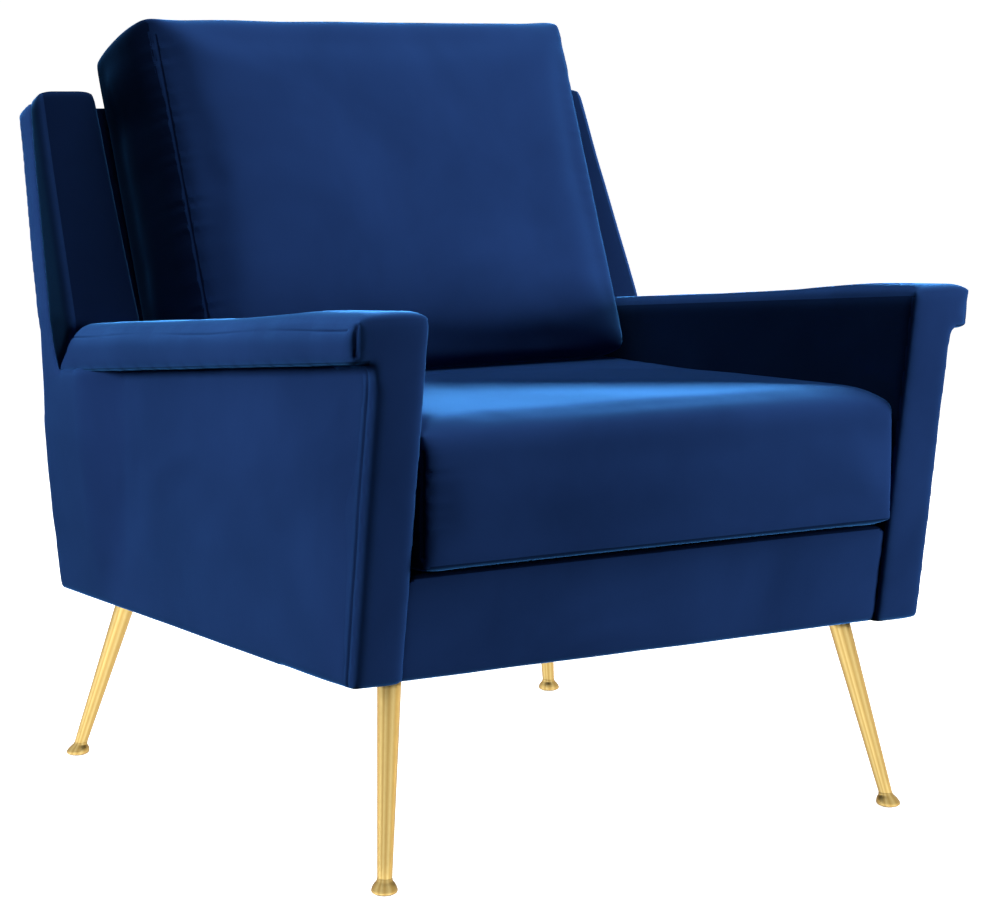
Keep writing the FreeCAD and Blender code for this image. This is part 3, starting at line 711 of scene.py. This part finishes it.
def round_arm(obj, post_half, corner):
    """Turn the cover's square edges into arcs, each with its own radius."""
    co = get_points(obj)
    x, depth, z = co[:, 0], co[:, 1] - FRONT_Y, co[:, 2]

    a, b = rounded(x - ARM_INNER, cap_top(depth) - z, 15 * MM)
    x, z = ARM_INNER + a, cap_top(depth) - b
    a, b = rounded(CAP_HALF - x, cap_top(depth) - z, 23 * MM)
    x, z = CAP_HALF - a, cap_top(depth) - b
    a, b = rounded(depth - arm_front(z), cap_top(depth) - z, 13 * MM)
    depth, z = arm_front(z) + a, cap_top(depth) - b
    a, b = rounded(depth - arm_front(z), x - ARM_INNER, 7 * MM)
    depth, x = arm_front(z) + a, ARM_INNER + b

    over = x > BODY_HALF
    a, b = rounded(CAP_HALF - x, z - cap_under(depth), np.where(over, 7 * MM, 0))
    x, z = CAP_HALF - a, cap_under(depth) + b
    capped = z > cap_under(depth) - 2 * MM
    a, b = rounded(depth - arm_front(z), CAP_HALF - x, np.where(capped, 13 * MM, 0))
    depth, x = arm_front(z) + a, CAP_HALF - b
    below = smooth_step((cap_under(depth) - z) / 0.030)
    a, b = rounded(depth - arm_front(z), post_half - x, corner * below)
    depth, x = arm_front(z) + a, post_half - b
    set_points(obj, np.stack([x, FRONT_Y + depth, z], 1))


def arm_panel(side, sign):
    """The outside panel: flat under the cap, flaring behind it and running up behind the wing."""
    top = meet(crease, wing_top)
    rear_top = meet(lambda z: rear(z) - 2 * MM, wing_top)
    tuck = 5 * MM
    lip = 11.5 * MM
    outline = [(arm_front(HEM_Z) + lip, HEM_Z), (REAR_FOOT[0] - 1 * MM, HEM_REAR_Z),
               (REAR_BEND[0] - 1 * MM, REAR_BEND[1]), rear_top, (top[0] + 2 * MM, top[1]),
               (CAP_REAR[0] + 2 * MM, CAP_REAR[1]), (CAP_REAR[0] - 5 * MM, CAP_REAR[1] + tuck),
               (arm_front(CAP_FRONT_Z) + lip, CAP_FRONT_Z + tuck)]
    thick = 0.026
    obj = joined("arm_panel_" + side, [slab(outline, BODY_HALF - thick, BODY_HALF)])
    remesh(obj, 4 * MM)
    soften(obj, 4)
    co = get_points(obj)
    depth, z = co[:, 1] - FRONT_Y, co[:, 2]
    from_front = depth - arm_front(z) - lip
    inward = BODY_HALF - co[:, 0]
    share = smooth_step(1 - inward / thick)
    full = outer_half(z) - BODY_HALF + 1.5 * MM
    above = smooth_step((z - 0.44) / 0.05)
    flare = smooth_step((depth - FLARE[0]) / (FLARE[1] - FLARE[0]))
    hollow = np.sin(math.pi * np.clip(depth / 0.56, 0, 1)) * np.sin(
        math.pi * np.clip((z - BASE_Z) / 0.30, 0, 1))
    bulge = 2.0 * MM * hollow + 1.5 * MM * (1 - flare) * (1 - above) + 0.8 * MM
    shift = full * flare + bulge * smooth_step(from_front / 0.050)
    co[:, 0] += share * (shift + 0.7 * MM * ripple(co, 0.19, 31 + sign)
                         + 0.3 * MM * ripple(co, 0.07, 41 + sign))
    set_points(obj, co)
    soften(obj, 2)
    # Painted shadow: the panel is darkened in a band below the cap's overhang.
    below = cap_under(depth) - z
    mark(obj, "seam", 0.55 * np.exp(-np.clip(below, 0, 1) / (13 * MM)) * (below > 0) * (1 - flare))
    mark_rims(obj)
    if sign < 0:
        mirror(obj)
    finish_piece(obj, VELVET, "frame", ["outside_arm_panel_" + side])


def wing(side, sign):
    """The padded wing beside the back, with a roll down its outer edge."""
    top = meet(crease, wing_top)
    top_front = (wing_front(WING_TOP_Z), WING_TOP_Z)
    back_top = meet(lambda z: rear(z) - 6 * MM, wing_top)
    low = (CAP_REAR[0], CAP_REAR[1] - 0.010)
    roll = slab([ARM_REAR, top_front, top, CAP_REAR, (0.60, 0.50)], ARM_INNER, WING_TOP_HALF)
    body = slab([(ARM_REAR[0] - 8 * MM, 0.515), ARM_REAR, top_front, back_top,
                 (REAR_BEND[0] - 6 * MM, REAR_BEND[1]), (REAR_BEND[0] - 6 * MM, low[1]), low],
                ARM_INNER, 0.362)
    obj = joined("wing_" + side, [roll, body])
    remesh(obj, 4 * MM)
    soften(obj, 4)

    co = get_points(obj)
    x, depth, z = co[:, 0], co[:, 1] - FRONT_Y, co[:, 2]
    before = depth < crease(z) + 4 * MM
    a, b = rounded(WING_TOP_HALF - x, depth - wing_front(z), 11 * MM)
    x, depth = WING_TOP_HALF - a, wing_front(z) + b
    a, b = rounded(x - ARM_INNER, depth - wing_front(z), 11 * MM)
    x, depth = ARM_INNER + a, wing_front(z) + b
    a, b = rounded(x - ARM_INNER, wing_top(depth) - z, 18 * MM)
    x, z = ARM_INNER + a, wing_top(depth) - b
    a, b = rounded(WING_TOP_HALF - x, wing_top(depth) - z, np.where(before, 20 * MM, 0))
    x, z = WING_TOP_HALF - a, wing_top(depth) - b
    a, b = rounded(depth - wing_front(z), wing_top(depth) - z, 8 * MM)
    depth, z = wing_front(z) + a, wing_top(depth) - b
    share = np.clip((x - ARM_INNER) / (WING_TOP_HALF - ARM_INNER), 0, 1)
    x = x + share * (outer_half(z) - WING_TOP_HALF + 2.5 * MM)
    z = z + 5.5 * MM * smooth_step((z - WING_TOP_Z + 0.10) / 0.10)
    set_points(obj, np.stack([x, FRONT_Y + depth, z], 1))
    soften(obj, 5)

    co, normals = get_points(obj), get_normals(obj)
    outer = smooth_step((normals[:, 0] - 0.2) / 0.5)
    faced = smooth_step((-normals[:, 1] - 0.4) / 0.4)
    push(obj, 1.2 * MM * outer + 1.8 * MM * faced * np.sin(math.pi * share)
         + 0.5 * MM * ripple(co, 0.13, 51 + sign))
    mark_rims(obj)
    if sign < 0:
        mirror(obj)
    finish_piece(obj, VELVET, "frame", ["wing_pad_" + side])
    # Painted shade: the wing, all but its outer side, gets the darker velvet.
    taper = (WING_TOP_HALF - CAP_HALF) / (WING_TOP_Z - 0.540)
    edge = CAP_HALF - 3.5 * MM
    shade(obj, lambda at, facing: sign * at[:, 0] < edge + taper * (at[:, 2] - 0.540),
          cuts=[((sign * edge, 0, 0.540), (sign, 0, -taper))])


def front_rail():
    top = DECK_Z - 2 * MM
    recess = 3 * MM
    outline = [(recess, HEM_Z), (0.040, HEM_Z), (0.040, top), (arm_front(top) + recess, top)]
    obj = joined("front_rail_cover", [slab(outline, -ARM_INNER - 8 * MM, ARM_INNER + 8 * MM)])
    remesh(obj, 4 * MM)
    soften(obj, 3)
    co = get_points(obj)
    depth, z = co[:, 1] - FRONT_Y, co[:, 2]
    a, b = rounded(depth - arm_front(z) - recess, top - z, 9 * MM)
    depth, z = arm_front(z) + recess + a, top - b
    b, a = rounded(top - z, ARM_INNER - np.abs(co[:, 0]), 10 * MM)
    z, x = top - b, np.sign(co[:, 0]) * (ARM_INNER - a)
    set_points(obj, np.stack([x, FRONT_Y + depth, z], 1))
    soften(obj, 4)
    co = get_points(obj)
    face = smooth_step((-get_normals(obj)[:, 1] - 0.5) / 0.4)
    crown = 1 - (co[:, 0] / ARM_INNER) ** 2
    push(obj, face * 2.5 * MM * np.sqrt(np.clip(crown, 0, 1)) + 0.5 * MM * ripple(co, 0.2, 61)
         + 0.25 * MM * ripple(co, 0.08, 62))
    # Painted shadow under the cushion: the rail is darkened towards its top.
    under_cushion = np.clip(top - get_points(obj)[:, 2], 0, 1)
    mark(obj, "seam", 0.8 * np.exp(-under_cushion / (13 * MM)))
    finish_piece(obj, VELVET, "frame", ["front_rail_pad"])
    # Painted shadow: the rail's top faces get a near-black velvet without sheen.
    shade(obj, lambda at, facing: facing[:, 2] > 0.30, material=VELVET_PAINTED_SHADOW)


def inside_back():
    low = 0.319
    rear_top = meet(lambda z: rear(z) - 7 * MM, wing_top)
    outline = [(rest(low), low), (rest(REST_KNEE_Z), REST_KNEE_Z), meet(rest, wing_top), rear_top,
               (REAR_BEND[0] - 7 * MM, REAR_BEND[1]), (REAR_FOOT[0] - 12 * MM, low)]
    obj = joined("inside_back_cover", [slab(outline, -ARM_INNER - 4 * MM, ARM_INNER + 4 * MM)])
    remesh(obj, 5 * MM)
    soften(obj, 6)
    co = get_points(obj)
    push(obj, 0.5 * MM * ripple(co, 0.2, 71) - 0.5 * MM)
    mark_rims(obj)
    finish_piece(obj, VELVET, "frame", ["inside_back_panel"])
    # Painted shade: the front faces, behind the back cushion, get the darker velvet.
    shade(obj, lambda at, facing: facing[:, 1] < 0)


def outside_back():
    """The tight back panel, tucked along its sides with a hand-sewn seam."""
    thick = 12 * MM
    top = meet(rear, wing_top)
    outline = [(REAR_FOOT[0] - thick, HEM_REAR_Z), (REAR_FOOT[0], HEM_REAR_Z), REAR_BEND,
               (top[0], top[1] - 1 * MM), (top[0] - thick, top[1] + 3 * MM),
               (REAR_BEND[0] - thick, REAR_BEND[1])]
    obj = joined("outside_back_cover", [slab(outline, -BODY_HALF, BODY_HALF)])
    remesh(obj, 5 * MM)
    soften(obj, 4)
    co = get_points(obj)
    co[:, 0] *= (outer_half(co[:, 2]) - 0.5 * MM) / BODY_HALF
    inward = 1 - (co[:, 0] / CAP_HALF) ** 2
    upward = np.sin(math.pi * np.clip((co[:, 2] - BASE_Z) / (WING_TOP_Z - BASE_Z), 0, 1))
    behind = smooth_step((get_normals(obj)[:, 1] - 0.5) / 0.4)
    co[:, 1] += behind * (1.8 * MM * inward * upward - 0.8 * MM + 0.6 * MM * ripple(co, 0.22, 81))
    set_points(obj, co)
    for x_sign in (-1, 1):
        edge = [(x_sign * (outer_half(z) - 13 * MM), FRONT_Y + rear(z) - 0.4 * MM, z)
                for z in np.linspace(HEM_Z + 4 * MM, top[1] - 8 * MM, 60)]
        seam(obj, edge, width=1.5 * MM, depth=1.6 * MM, gathers=0.5 * MM, pitch=18 * MM,
             spread=10 * MM, seed=85 + x_sign, reaches=(10 * MM, 5 * MM))
    mark_rims(obj)
    finish_piece(obj, VELVET, "frame", ["outside_back_panel"])


for side, sign in SIDES:
    arm_cover(side, sign)
    arm_panel(side, sign)
    wing(side, sign)
front_rail()
inside_back()
outside_back()


# ---- cushions -------------------------------------------------------------------------------------
def padded_block(name, half, voxel, edges):
    """A closed block centred on the origin; each edge is (axis, sign, axis, sign, radius)."""
    obj = new_object(name, [], [])
    bm = bmesh.new()
    bmesh.ops.create_cube(bm, size=2.0)
    bmesh.ops.scale(bm, vec=half, verts=bm.verts)
    bm.to_mesh(obj.data)
    bm.free()
    remesh(obj, voxel)
    co = get_points(obj)
    for axis_a, sign_a, axis_b, sign_b, radius in edges:
        a, b = rounded(half[axis_a] - sign_a * co[:, axis_a],
                       half[axis_b] - sign_b * co[:, axis_b], radius)
        co[:, axis_a] = sign_a * (half[axis_a] - a)
        co[:, axis_b] = sign_b * (half[axis_b] - b)
    set_points(obj, co)
    soften(obj, 3)
    return obj


def inflate(obj, pressure, most, frames=14):
    """Swell a closed cover by cloth simulation, keeping what moved outward, up to `most`."""
    start, normals, edges = get_points(obj), get_normals(obj), get_edges(obj)
    scene = bpy.context.scene
    gravity = scene.use_gravity
    scene.use_gravity = False
    modifier = obj.modifiers.new("cloth", "CLOTH")
    settings = modifier.settings
    settings.effector_weights.gravity = 0.0
    settings.use_pressure = True
    settings.uniform_pressure_force = pressure
    settings.quality = 4
    settings.mass = 0.3
    settings.tension_stiffness = settings.compression_stiffness = 15
    settings.shear_stiffness = 5
    settings.bending_stiffness = 0.5
    modifier.point_cache.frame_start = 1
    modifier.point_cache.frame_end = frames
    for number in range(1, frames + 1):
        scene.frame_set(number)
    bake_modifiers(obj)
    scene.frame_set(1)
    scene.use_gravity = gravity
    grown = np.clip(((get_points(obj) - start) * normals).sum(1), 0, None)
    grown = most * np.tanh(grown / most)[:, None]
    for _ in range(5):
        grown = 0.5 * grown + 0.5 * neighbour_mean(grown, edges)
    print(obj.name, "swelled by up to", round(float(grown.max()), 4), "m")
    set_points(obj, start + normals * grown)


def subdivide(obj):
    modifier = obj.modifiers.new("subdivision", "SUBSURF")
    modifier.levels = modifier.render_levels = 1
    bake_modifiers(obj)


def seat_cushion():
    centre = (SEAT_LOW + SEAT_HIGH) / 2
    half = (SEAT_HIGH - SEAT_LOW) / 2
    edges = [(0, -1, 1, -1, 20 * MM), (0, 1, 1, -1, 9 * MM)]
    edges += [(0, s, 1, 1, 16 * MM) for s in (-1, 1)]
    edges += [(0, s, 2, 1, 24 * MM) for s in (-1, 1)] + [(0, s, 2, -1, 12 * MM) for s in (-1, 1)]
    edges += [(1, -1, 2, 1, 30 * MM), (1, -1, 2, -1, 12 * MM), (1, 1, 2, 1, 14 * MM),
              (1, 1, 2, -1, 12 * MM)]
    obj = padded_block("seat_cushion", half, 7.5 * MM, edges)
    inflate(obj, 4.0, 6 * MM)
    subdivide(obj)
    co = get_points(obj) + np.array(centre)
    depth, low_z = co[:, 1] - FRONT_Y, SEAT_LOW.z
    co[:, 0] *= (ARM_INNER - 1.8 * MM) / half.x
    co[:, 1] -= 6 * MM * smooth_step((0.16 - depth) / 0.14)
    upper = smooth_step((co[:, 2] - centre.z + 0.01) / 0.05)
    front = np.exp(-((depth - 0.05) / 0.16) ** 2)
    co[:, 2] += upper * (6 * MM * front - 2 * MM * smooth_step((depth - 0.18) / 0.16))
    under_back = smooth_step((depth - 0.372) / 0.035)
    co[:, 2] = np.clip(co[:, 2], low_z, SEAT_HIGH.z + 0.2 * MM + (1 - under_back) * 22 * MM)
    zip_place = (np.abs(co[:, 2] - ZIP_Z) < 15 * MM) & (np.abs(co[:, 0]) < ZIP_HALF + 8 * MM)
    co[:, 1] = np.minimum(co[:, 1], SEAT_HIGH.y - 0.7 * MM * zip_place)
    co[:, 0] = np.clip(co[:, 0], -ARM_INNER + 1.8 * MM, ARM_INNER - 1.8 * MM)
    set_points(obj, co)
    free = ((co[:, 2] > low_z + 5 * MM) & (co[:, 1] < SEAT_HIGH.y - 5 * MM)
            & (co[:, 1] < FRONT_Y + 0.37))
    push(obj, 0.7 * MM * ripple(co, 0.12, 91) * free)
    for x_sign in (-1, 1):
        inset = (2.8 if x_sign > 0 else 6.0) * MM
        corner = [(x_sign * (ARM_INNER - 1.8 * MM - inset), SEAT_LOW.y - 6 * MM + inset, z)
                  for z in np.linspace(low_z + 0.016, SEAT_HIGH.z - 0.020, 12)]
        seam(obj, corner, width=1.8 * MM, depth=2.0 * MM, gathers=(0.9 - 0.5 * x_sign) * MM,
             pitch=7 * MM, spread=20 * MM, seed=7 + x_sign, reaches=(26 * MM, 8 * MM), dark=0.5)
    finish_piece(obj, VELVET, "seat_cushion",
                 ["seat_cushion_cover", "seat_cushion_core"])
    # Painted shade: the underside and the left side get the darker velvet.
    shade(obj, lambda at, facing: (facing[:, 2] < -0.4) | (facing[:, 0] < -0.75))


def back_cushion():
    """Built upright at the origin, then laid back against the inside back."""
    cos_r, sin_r = math.cos(RECLINE), math.sin(RECLINE)
    middle_t = BACK_FRONT_T + BACK_THICK / 2
    top_u = BACK_TOP_U - 3 * MM

    def bottom_u(t):
        return (BACK_LOW.z + t * sin_r) / cos_r

    half = Vector((BACK_HIGH.x + 9 * MM, BACK_THICK / 2, (top_u - bottom_u(middle_t)) / 2))
    edges = [(0, -1, 1, -1, 50 * MM), (0, 1, 1, -1, 18 * MM)]
    edges += [(0, s, 1, 1, 12 * MM) for s in (-1, 1)]
    edges += [(0, s, 2, 1, 12 * MM) for s in (-1, 1)] + [(0, s, 2, -1, 44 * MM) for s in (-1, 1)]
    edges += [(1, -1, 2, 1, 26 * MM), (1, -1, 2, -1, 28 * MM), (1, 1, 2, 1, 7 * MM),
              (1, 1, 2, -1, 8 * MM)]
    obj = padded_block("back_cushion", half, 7.5 * MM, edges)
    inflate(obj, 4.0, 11 * MM)
    subdivide(obj)
    co = get_points(obj)
    belly = np.clip(1 - (co[:, 1] / half.y) ** 2, 0, 1)
    at_end = smooth_step((np.abs(co[:, 0]) - half.x + 0.06) / 0.06)
    co[:, 0] += 7 * MM * np.sign(co[:, 0]) * belly * at_end * smooth_step(
        (co[:, 2] - half.z + 0.12) / 0.08)
    co[:, 2] += 5 * MM * belly * at_end * smooth_step((co[:, 2] - half.z + 0.05) / 0.05)
    t = co[:, 1] + middle_t
    height = (co[:, 2] + half.z) / (2 * half.z)
    u = bottom_u(t) + height * (top_u - bottom_u(t))
    zip_place = (np.abs(u - BACK_ZIP_U) < 15 * MM) & (np.abs(co[:, 0]) < ZIP_HALF + 8 * MM)
    t = np.minimum(t, BACK_FRONT_T + BACK_THICK - 0.7 * MM * zip_place)
    placed = np.stack([co[:, 0], FRONT_Y + t * cos_r + u * sin_r, -t * sin_r + u * cos_r], 1)
    placed[:, 2] = np.maximum(placed[:, 2], BACK_LOW.z + 0.3 * MM)
    set_points(obj, placed)
    free = smooth_step((BACK_FRONT_T + BACK_THICK - t) / 0.02) * smooth_step((height - 0.03) / 0.05)
    push(obj, 0.8 * MM * ripple(placed, 0.13, 95) * free)
    for x_sign in (-1, 1):
        corner = []
        for u_at in np.linspace(bottom_u(BACK_FRONT_T) + 0.03, top_u - 0.022, 24):
            inset = (5.3 if x_sign > 0 else 14.6) * MM
            t_at = BACK_FRONT_T + inset
            corner.append((x_sign * (half.x - inset), FRONT_Y + t_at * cos_r + u_at * sin_r,
                           -t_at * sin_r + u_at * cos_r))
        seam(obj, corner, width=1.6 * MM, depth=0.8 * MM, gathers=0.6 * MM, pitch=7 * MM,
             spread=18 * MM, seed=97 + x_sign, reaches=(24 * MM, 8 * MM), dark=0.3)
    mark_rims(obj)
    finish_piece(obj, VELVET, "back_cushion",
                 ["back_cushion_cover", "back_cushion_core"])
    # Painted shade: the cushion's sides get the darker velvet.
    shade(obj, lambda at, facing: np.abs(facing[:, 0]) > 0.72)


seat_cushion()
back_cushion()


# ---- zips -----------------------------------------------------------------------------------------
def brick(low, high):
    (x0, y0, z0), (x1, y1, z1) = low, high
    verts = [(x, y, z) for z in (z0, z1) for x, y in ((x0, y0), (x1, y0), (x1, y1), (x0, y1))]
    faces = [(3, 2, 1, 0), (4, 5, 6, 7)] + [(i, (i + 1) % 4, 4 + (i + 1) % 4, 4 + i)
                                            for i in range(4)]
    return verts, faces


def level_sheet(name, low, high, step, thick, dip, openings=()):
    """A thin level sheet with two faces, its top at dip(x, y), with round (x, y, radius) holes."""
    counts = [max(2, round((high[k] - low[k]) / step)) for k in (0, 1)]
    xs, ys = (np.linspace(low[k], high[k], counts[k] + 1) for k in (0, 1))
    grid_x, grid_y = (g.ravel() for g in np.meshgrid(xs, ys, indexing="ij"))
    row = counts[1] + 1
    faces = []
    for i in range(counts[0]):
        for j in range(counts[1]):
            x, y = (xs[i] + xs[i + 1]) / 2, (ys[j] + ys[j + 1]) / 2
            if all(math.hypot(x - cx, y - cy) > radius for cx, cy, radius in openings):
                at = i * row + j
                faces.append((at, at + row, at + row + 1, at + 1))
    for cx, cy, radius in openings:
        away = np.hypot(grid_x - cx, grid_y - cy)
        near = (away < radius + 0.45 * step) & (away > radius - 0.75 * step)
        grid_x = np.where(near, cx + (grid_x - cx) * radius / np.maximum(away, 1e-6), grid_x)
        grid_y = np.where(near, cy + (grid_y - cy) * radius / np.maximum(away, 1e-6), grid_y)
    obj = new_object(name, np.stack([grid_x, grid_y, dip(grid_x, grid_y)], 1), faces)
    bm = bmesh.new()
    bm.from_mesh(obj.data)
    bmesh.ops.delete(bm, geom=[v for v in bm.verts if not v.link_faces], context="VERTS")
    bm.to_mesh(obj.data)
    bm.free()
    modifier = obj.modifiers.new("thickness", "SOLIDIFY")
    modifier.thickness, modifier.offset = thick, -1.0
    bake_modifiers(obj)
    return obj


def zip_strip(name, tilt, depth, z, body, node):
    """A woven tape with a row of interlocking teeth, facing the rear."""
    turn = Matrix.Translation((0, FRONT_Y + depth, z)) @ Matrix.Rotation(
        -math.pi / 2 - tilt, 4, "X")
    tape_end, tape_half = 6 * MM, 12 * MM
    tape = level_sheet(name + "_tape", (-ZIP_HALF - tape_end, -tape_half),
                       (ZIP_HALF + tape_end, tape_half), 2 * MM, 0.7 * MM,
                       lambda x, y: -0.02 * MM + 0.06 * MM * np.sin(x * 900) * (abs(y) > 4 * MM))
    tape.data.transform(turn)
    finish_piece(tape, MATERIALS["zip_tape"], body, [node])
    teeth = []
    pitch, tooth, high, reach = 2.5 * MM, 1.5 * MM, 1.15 * MM, 2.45 * MM
    for k in range(int(2 * ZIP_HALF / pitch)):
        x = -ZIP_HALF + (k + 0.5) * pitch
        shift = 0.25 * MM if k % 2 else -0.25 * MM
        teeth.append(brick((x - tooth / 2, -reach + 0.25 * MM + shift, -0.3 * MM),
                           (x + tooth / 2, reach - 0.25 * MM + shift, high)))
    row = joined(name + "_teeth", teeth)
    row.data.transform(turn)
    bevel = row.modifiers.new("bevel", "BEVEL")
    bevel.width, bevel.segments = 0.3 * MM, 1
    bake_modifiers(row)
    finish_piece(row, MATERIALS["zip_metal"], body)


back_rear_t = BACK_FRONT_T + BACK_THICK
zip_strip("seat_zip", 0.0, SEAT_HIGH.y - FRONT_Y, ZIP_Z, "seat_cushion", "seat_cushion_zip")
zip_strip("back_zip", RECLINE,
          back_rear_t * math.cos(RECLINE) + BACK_ZIP_U * math.sin(RECLINE),
          -back_rear_t * math.sin(RECLINE) + BACK_ZIP_U * math.cos(RECLINE),
          "back_cushion", "back_cushion_zip")


# ---- deck, dust cover and staples -----------------------------------------------------------------
def seat_deck():
    """The padded cloth under the seat cushion, dipping a little between the springs."""
    low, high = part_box("seat_deck")
    springs_low, springs_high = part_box("seat_springs")
    pitch = (springs_high.x - springs_low.x) / 4.4

    def top(x, y):
        edge = np.minimum(np.minimum(x - low.x, high.x - x), np.minimum(y - low.y, high.y - y))
        dips = 1.6 * MM * np.cos(2 * math.pi * x / pitch) - 1.6 * MM
        return high.z - 0.4 * MM + smooth_step(edge / 0.05) * dips

    obj = level_sheet("seat_deck_cloth", low, high, 6 * MM, high.z - low.z - 0.5 * MM, top)
    finish_piece(obj, MATERIALS["deck_cloth"], "frame", ["seat_deck"])


def dust_cover():
    """Black cloth under the frame, its edge folded in, with a hemmed opening for each leg."""
    low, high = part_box("dust_cover")
    openings = [(sign * x, FRONT_Y + depth, LEG_OPENING_R)
                for x, depth in LEG_TOPS.values() for _, sign in SIDES]

    def top(x, y):
        edge = np.minimum(np.minimum(x - low.x, high.x - x), np.minimum(y - low.y, high.y - y))
        sag = 1.8 * MM * smooth_step(edge / 0.25)
        fold = 0.5 * MM * smooth_step((edge - 10 * MM) / (3 * MM))
        hem = sum(np.exp(-((np.hypot(x - cx, y - cy) - radius - 2.5 * MM) / (2 * MM)) ** 2)
                  for cx, cy, radius in openings)
        return high.z - 0.6 * MM - sag + fold - 0.5 * MM * hem

    obj = level_sheet("dust_cover_cloth", low, high, 4.5 * MM, 0.8 * MM, top, openings)
    finish_piece(obj, MATERIALS["dust_cloth"], "frame", ["dust_cover"])

    staples = []
    inset, pitch, long, wide = 7 * MM, 38 * MM, 10 * MM, 1.2 * MM
    bottom = low.z - 0.2 * MM
    for x in np.arange(low.x + 0.03, high.x - 0.02, pitch):
        for y in (low.y + inset, high.y - inset):
            staples.append(brick((x - long / 2, y - wide / 2, bottom - 0.6 * MM),
                                 (x + long / 2, y + wide / 2, bottom + 0.6 * MM)))
    for y in np.arange(low.y + 0.05, high.y - 0.04, pitch):
        for x in (low.x + inset, high.x - inset):
            staples.append(brick((x - wide / 2, y - long / 2, bottom - 0.6 * MM),
                                 (x + wide / 2, y + long / 2, bottom + 0.6 * MM)))
    row = joined("cover_staples", staples)
    bevel = row.modifiers.new("bevel", "BEVEL")
    bevel.width, bevel.segments = 0.3 * MM, 1
    bake_modifiers(row)
    finish_piece(row, MATERIALS["plated_steel"], "frame")


seat_deck()
dust_cover()


# ---- legs and feet --------------------------------------------------------------------------------
def turned(name, profile, start, lean, segments=64):
    """A turned solid of level rings: (radius, height) from the bottom up, leaning with height."""
    verts, faces, reflection_bands = [], [], []
    for radius, height in profile:
        centre = Vector(start) + Vector((lean[0], lean[1], 1)) * height
        for k in range(segments):
            angle = 2 * math.pi * k / segments
            # The painted reflection bands: a value from the angle round the axis, at a fixed turn.
            reflection_bands.append(0.5 + 0.5 * math.cos(angle + PAINTED_REFLECTION_TURN))
            verts.append(centre + Vector((math.cos(angle), math.sin(angle), 0)) * radius)
    for ring in range(len(profile) - 1):
        for k in range(segments):
            a, b = ring * segments + k, ring * segments + (k + 1) % segments
            faces.append((a, b, b + segments, a + segments))
    last = (len(profile) - 1) * segments
    faces.append(tuple(range(segments - 1, -1, -1)))
    faces.append(tuple(last + k for k in range(segments)))
    obj = new_object(name, verts, faces)
    mark(obj, "band", np.array(reflection_bands))
    return obj


# The fixed turn of the painted reflection bands round the legs and feet.
PAINTED_REFLECTION_TURN = math.radians(33)
BELL = [(11.0, 1.0), (12.3, 1.4), (13.0, 2.0), (13.5, 2.9), (13.7, 4.0), (13.5, 5.2), (12.9, 6.8),
        (12.0, 8.6), (10.9, 10.2), (9.8, 11.4), (9.1, 12.2), (8.6, 13.0), (8.3, 13.9),
        (8.2, 14.6), (8.1, 15.2), (7.6, 15.6)]            # (radius, height), mm


def leg_and_foot(end, side, sign):
    low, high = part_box("foot_%s_%s" % (end, side))
    neck = Vector(((low.x + high.x) / 2, (low.y + high.y) / 2, FOOT_Z))
    top_x, top_depth = LEG_TOPS[end]
    run = Vector((sign * top_x, FRONT_Y + top_depth, LEG_TOP_Z)) - neck
    lean = (run.x / run.z, run.y / run.z)
    profile = [(LEG_FOOT_R - 0.6 * MM, -3 * MM), (LEG_FOOT_R - 0.3 * MM, 0.2 * MM)]
    profile += [(LEG_FOOT_R + (LEG_TOP_R - LEG_FOOT_R) * t, t * (run.z - 1 * MM) + 1 * MM)
                for t in np.linspace(0, 1, 14)]
    leg = turned("brass_leg_%s_%s" % (end, side), profile, neck, lean)
    finish_piece(leg, BRASS, "frame", ["leg_%s_%s" % (end, side)])
    sole = neck - Vector((lean[0], lean[1], 1)) * FOOT_Z
    foot = turned("brass_foot_%s_%s" % (end, side), [(r * MM, z * MM) for r, z in BELL], sole, lean)
    finish_piece(foot, BRASS, "frame", ["foot_%s_%s" % (end, side)])
    return sole


soles = [leg_and_foot(end, side, sign) for end in ("front", "rear") for side, sign in SIDES]
discs = []
for place, sole in enumerate(soles):
    disc = turned("glide_%d" % place, [(9.6 * MM, 0), (10.3 * MM, 0.3 * MM), (10.3 * MM, 1.2 * MM)],
                  sole, (0, 0))
    discs.append(([v.co.copy() for v in disc.data.vertices],
                  [tuple(f.vertices) for f in disc.data.polygons]))
    bpy.data.objects.remove(disc)
finish_piece(joined("glide_discs", discs), MATERIALS["glide"], "frame", ["glides"])


# ---- two flagged lamps, each lighting only the pieces that it names ---------------------------------
def flagged_light(name, place, aim, size, power, chosen):
    light = add_light(name, place, aim, size, power)
    receivers = bpy.data.collections.new("lit_from_" + name)
    for piece in bpy.context.scene.objects:
        if piece.type == "MESH" and chosen(piece.name):
            receivers.objects.link(piece)
    light.light_linking.receiver_collection = receivers


REAR_PIECES = ("outside_back_cover", "arm_panel_right", "back_zip_tape", "back_zip_teeth",
               "seat_zip_tape", "seat_zip_teeth")
flagged_light("left", (-2.6, 0.3, 1.3), (-0.37, 0.1, 0.45), 1.2, 105,
              lambda piece: piece in ("floor", "backdrop")
              or piece.endswith("_left") and piece != "wing_left")
flagged_light("rear", (0.9, 3.0, 1.6), (0, 0.35, 0.5), 1.6, 130, lambda piece: piece in REAR_PIECES)
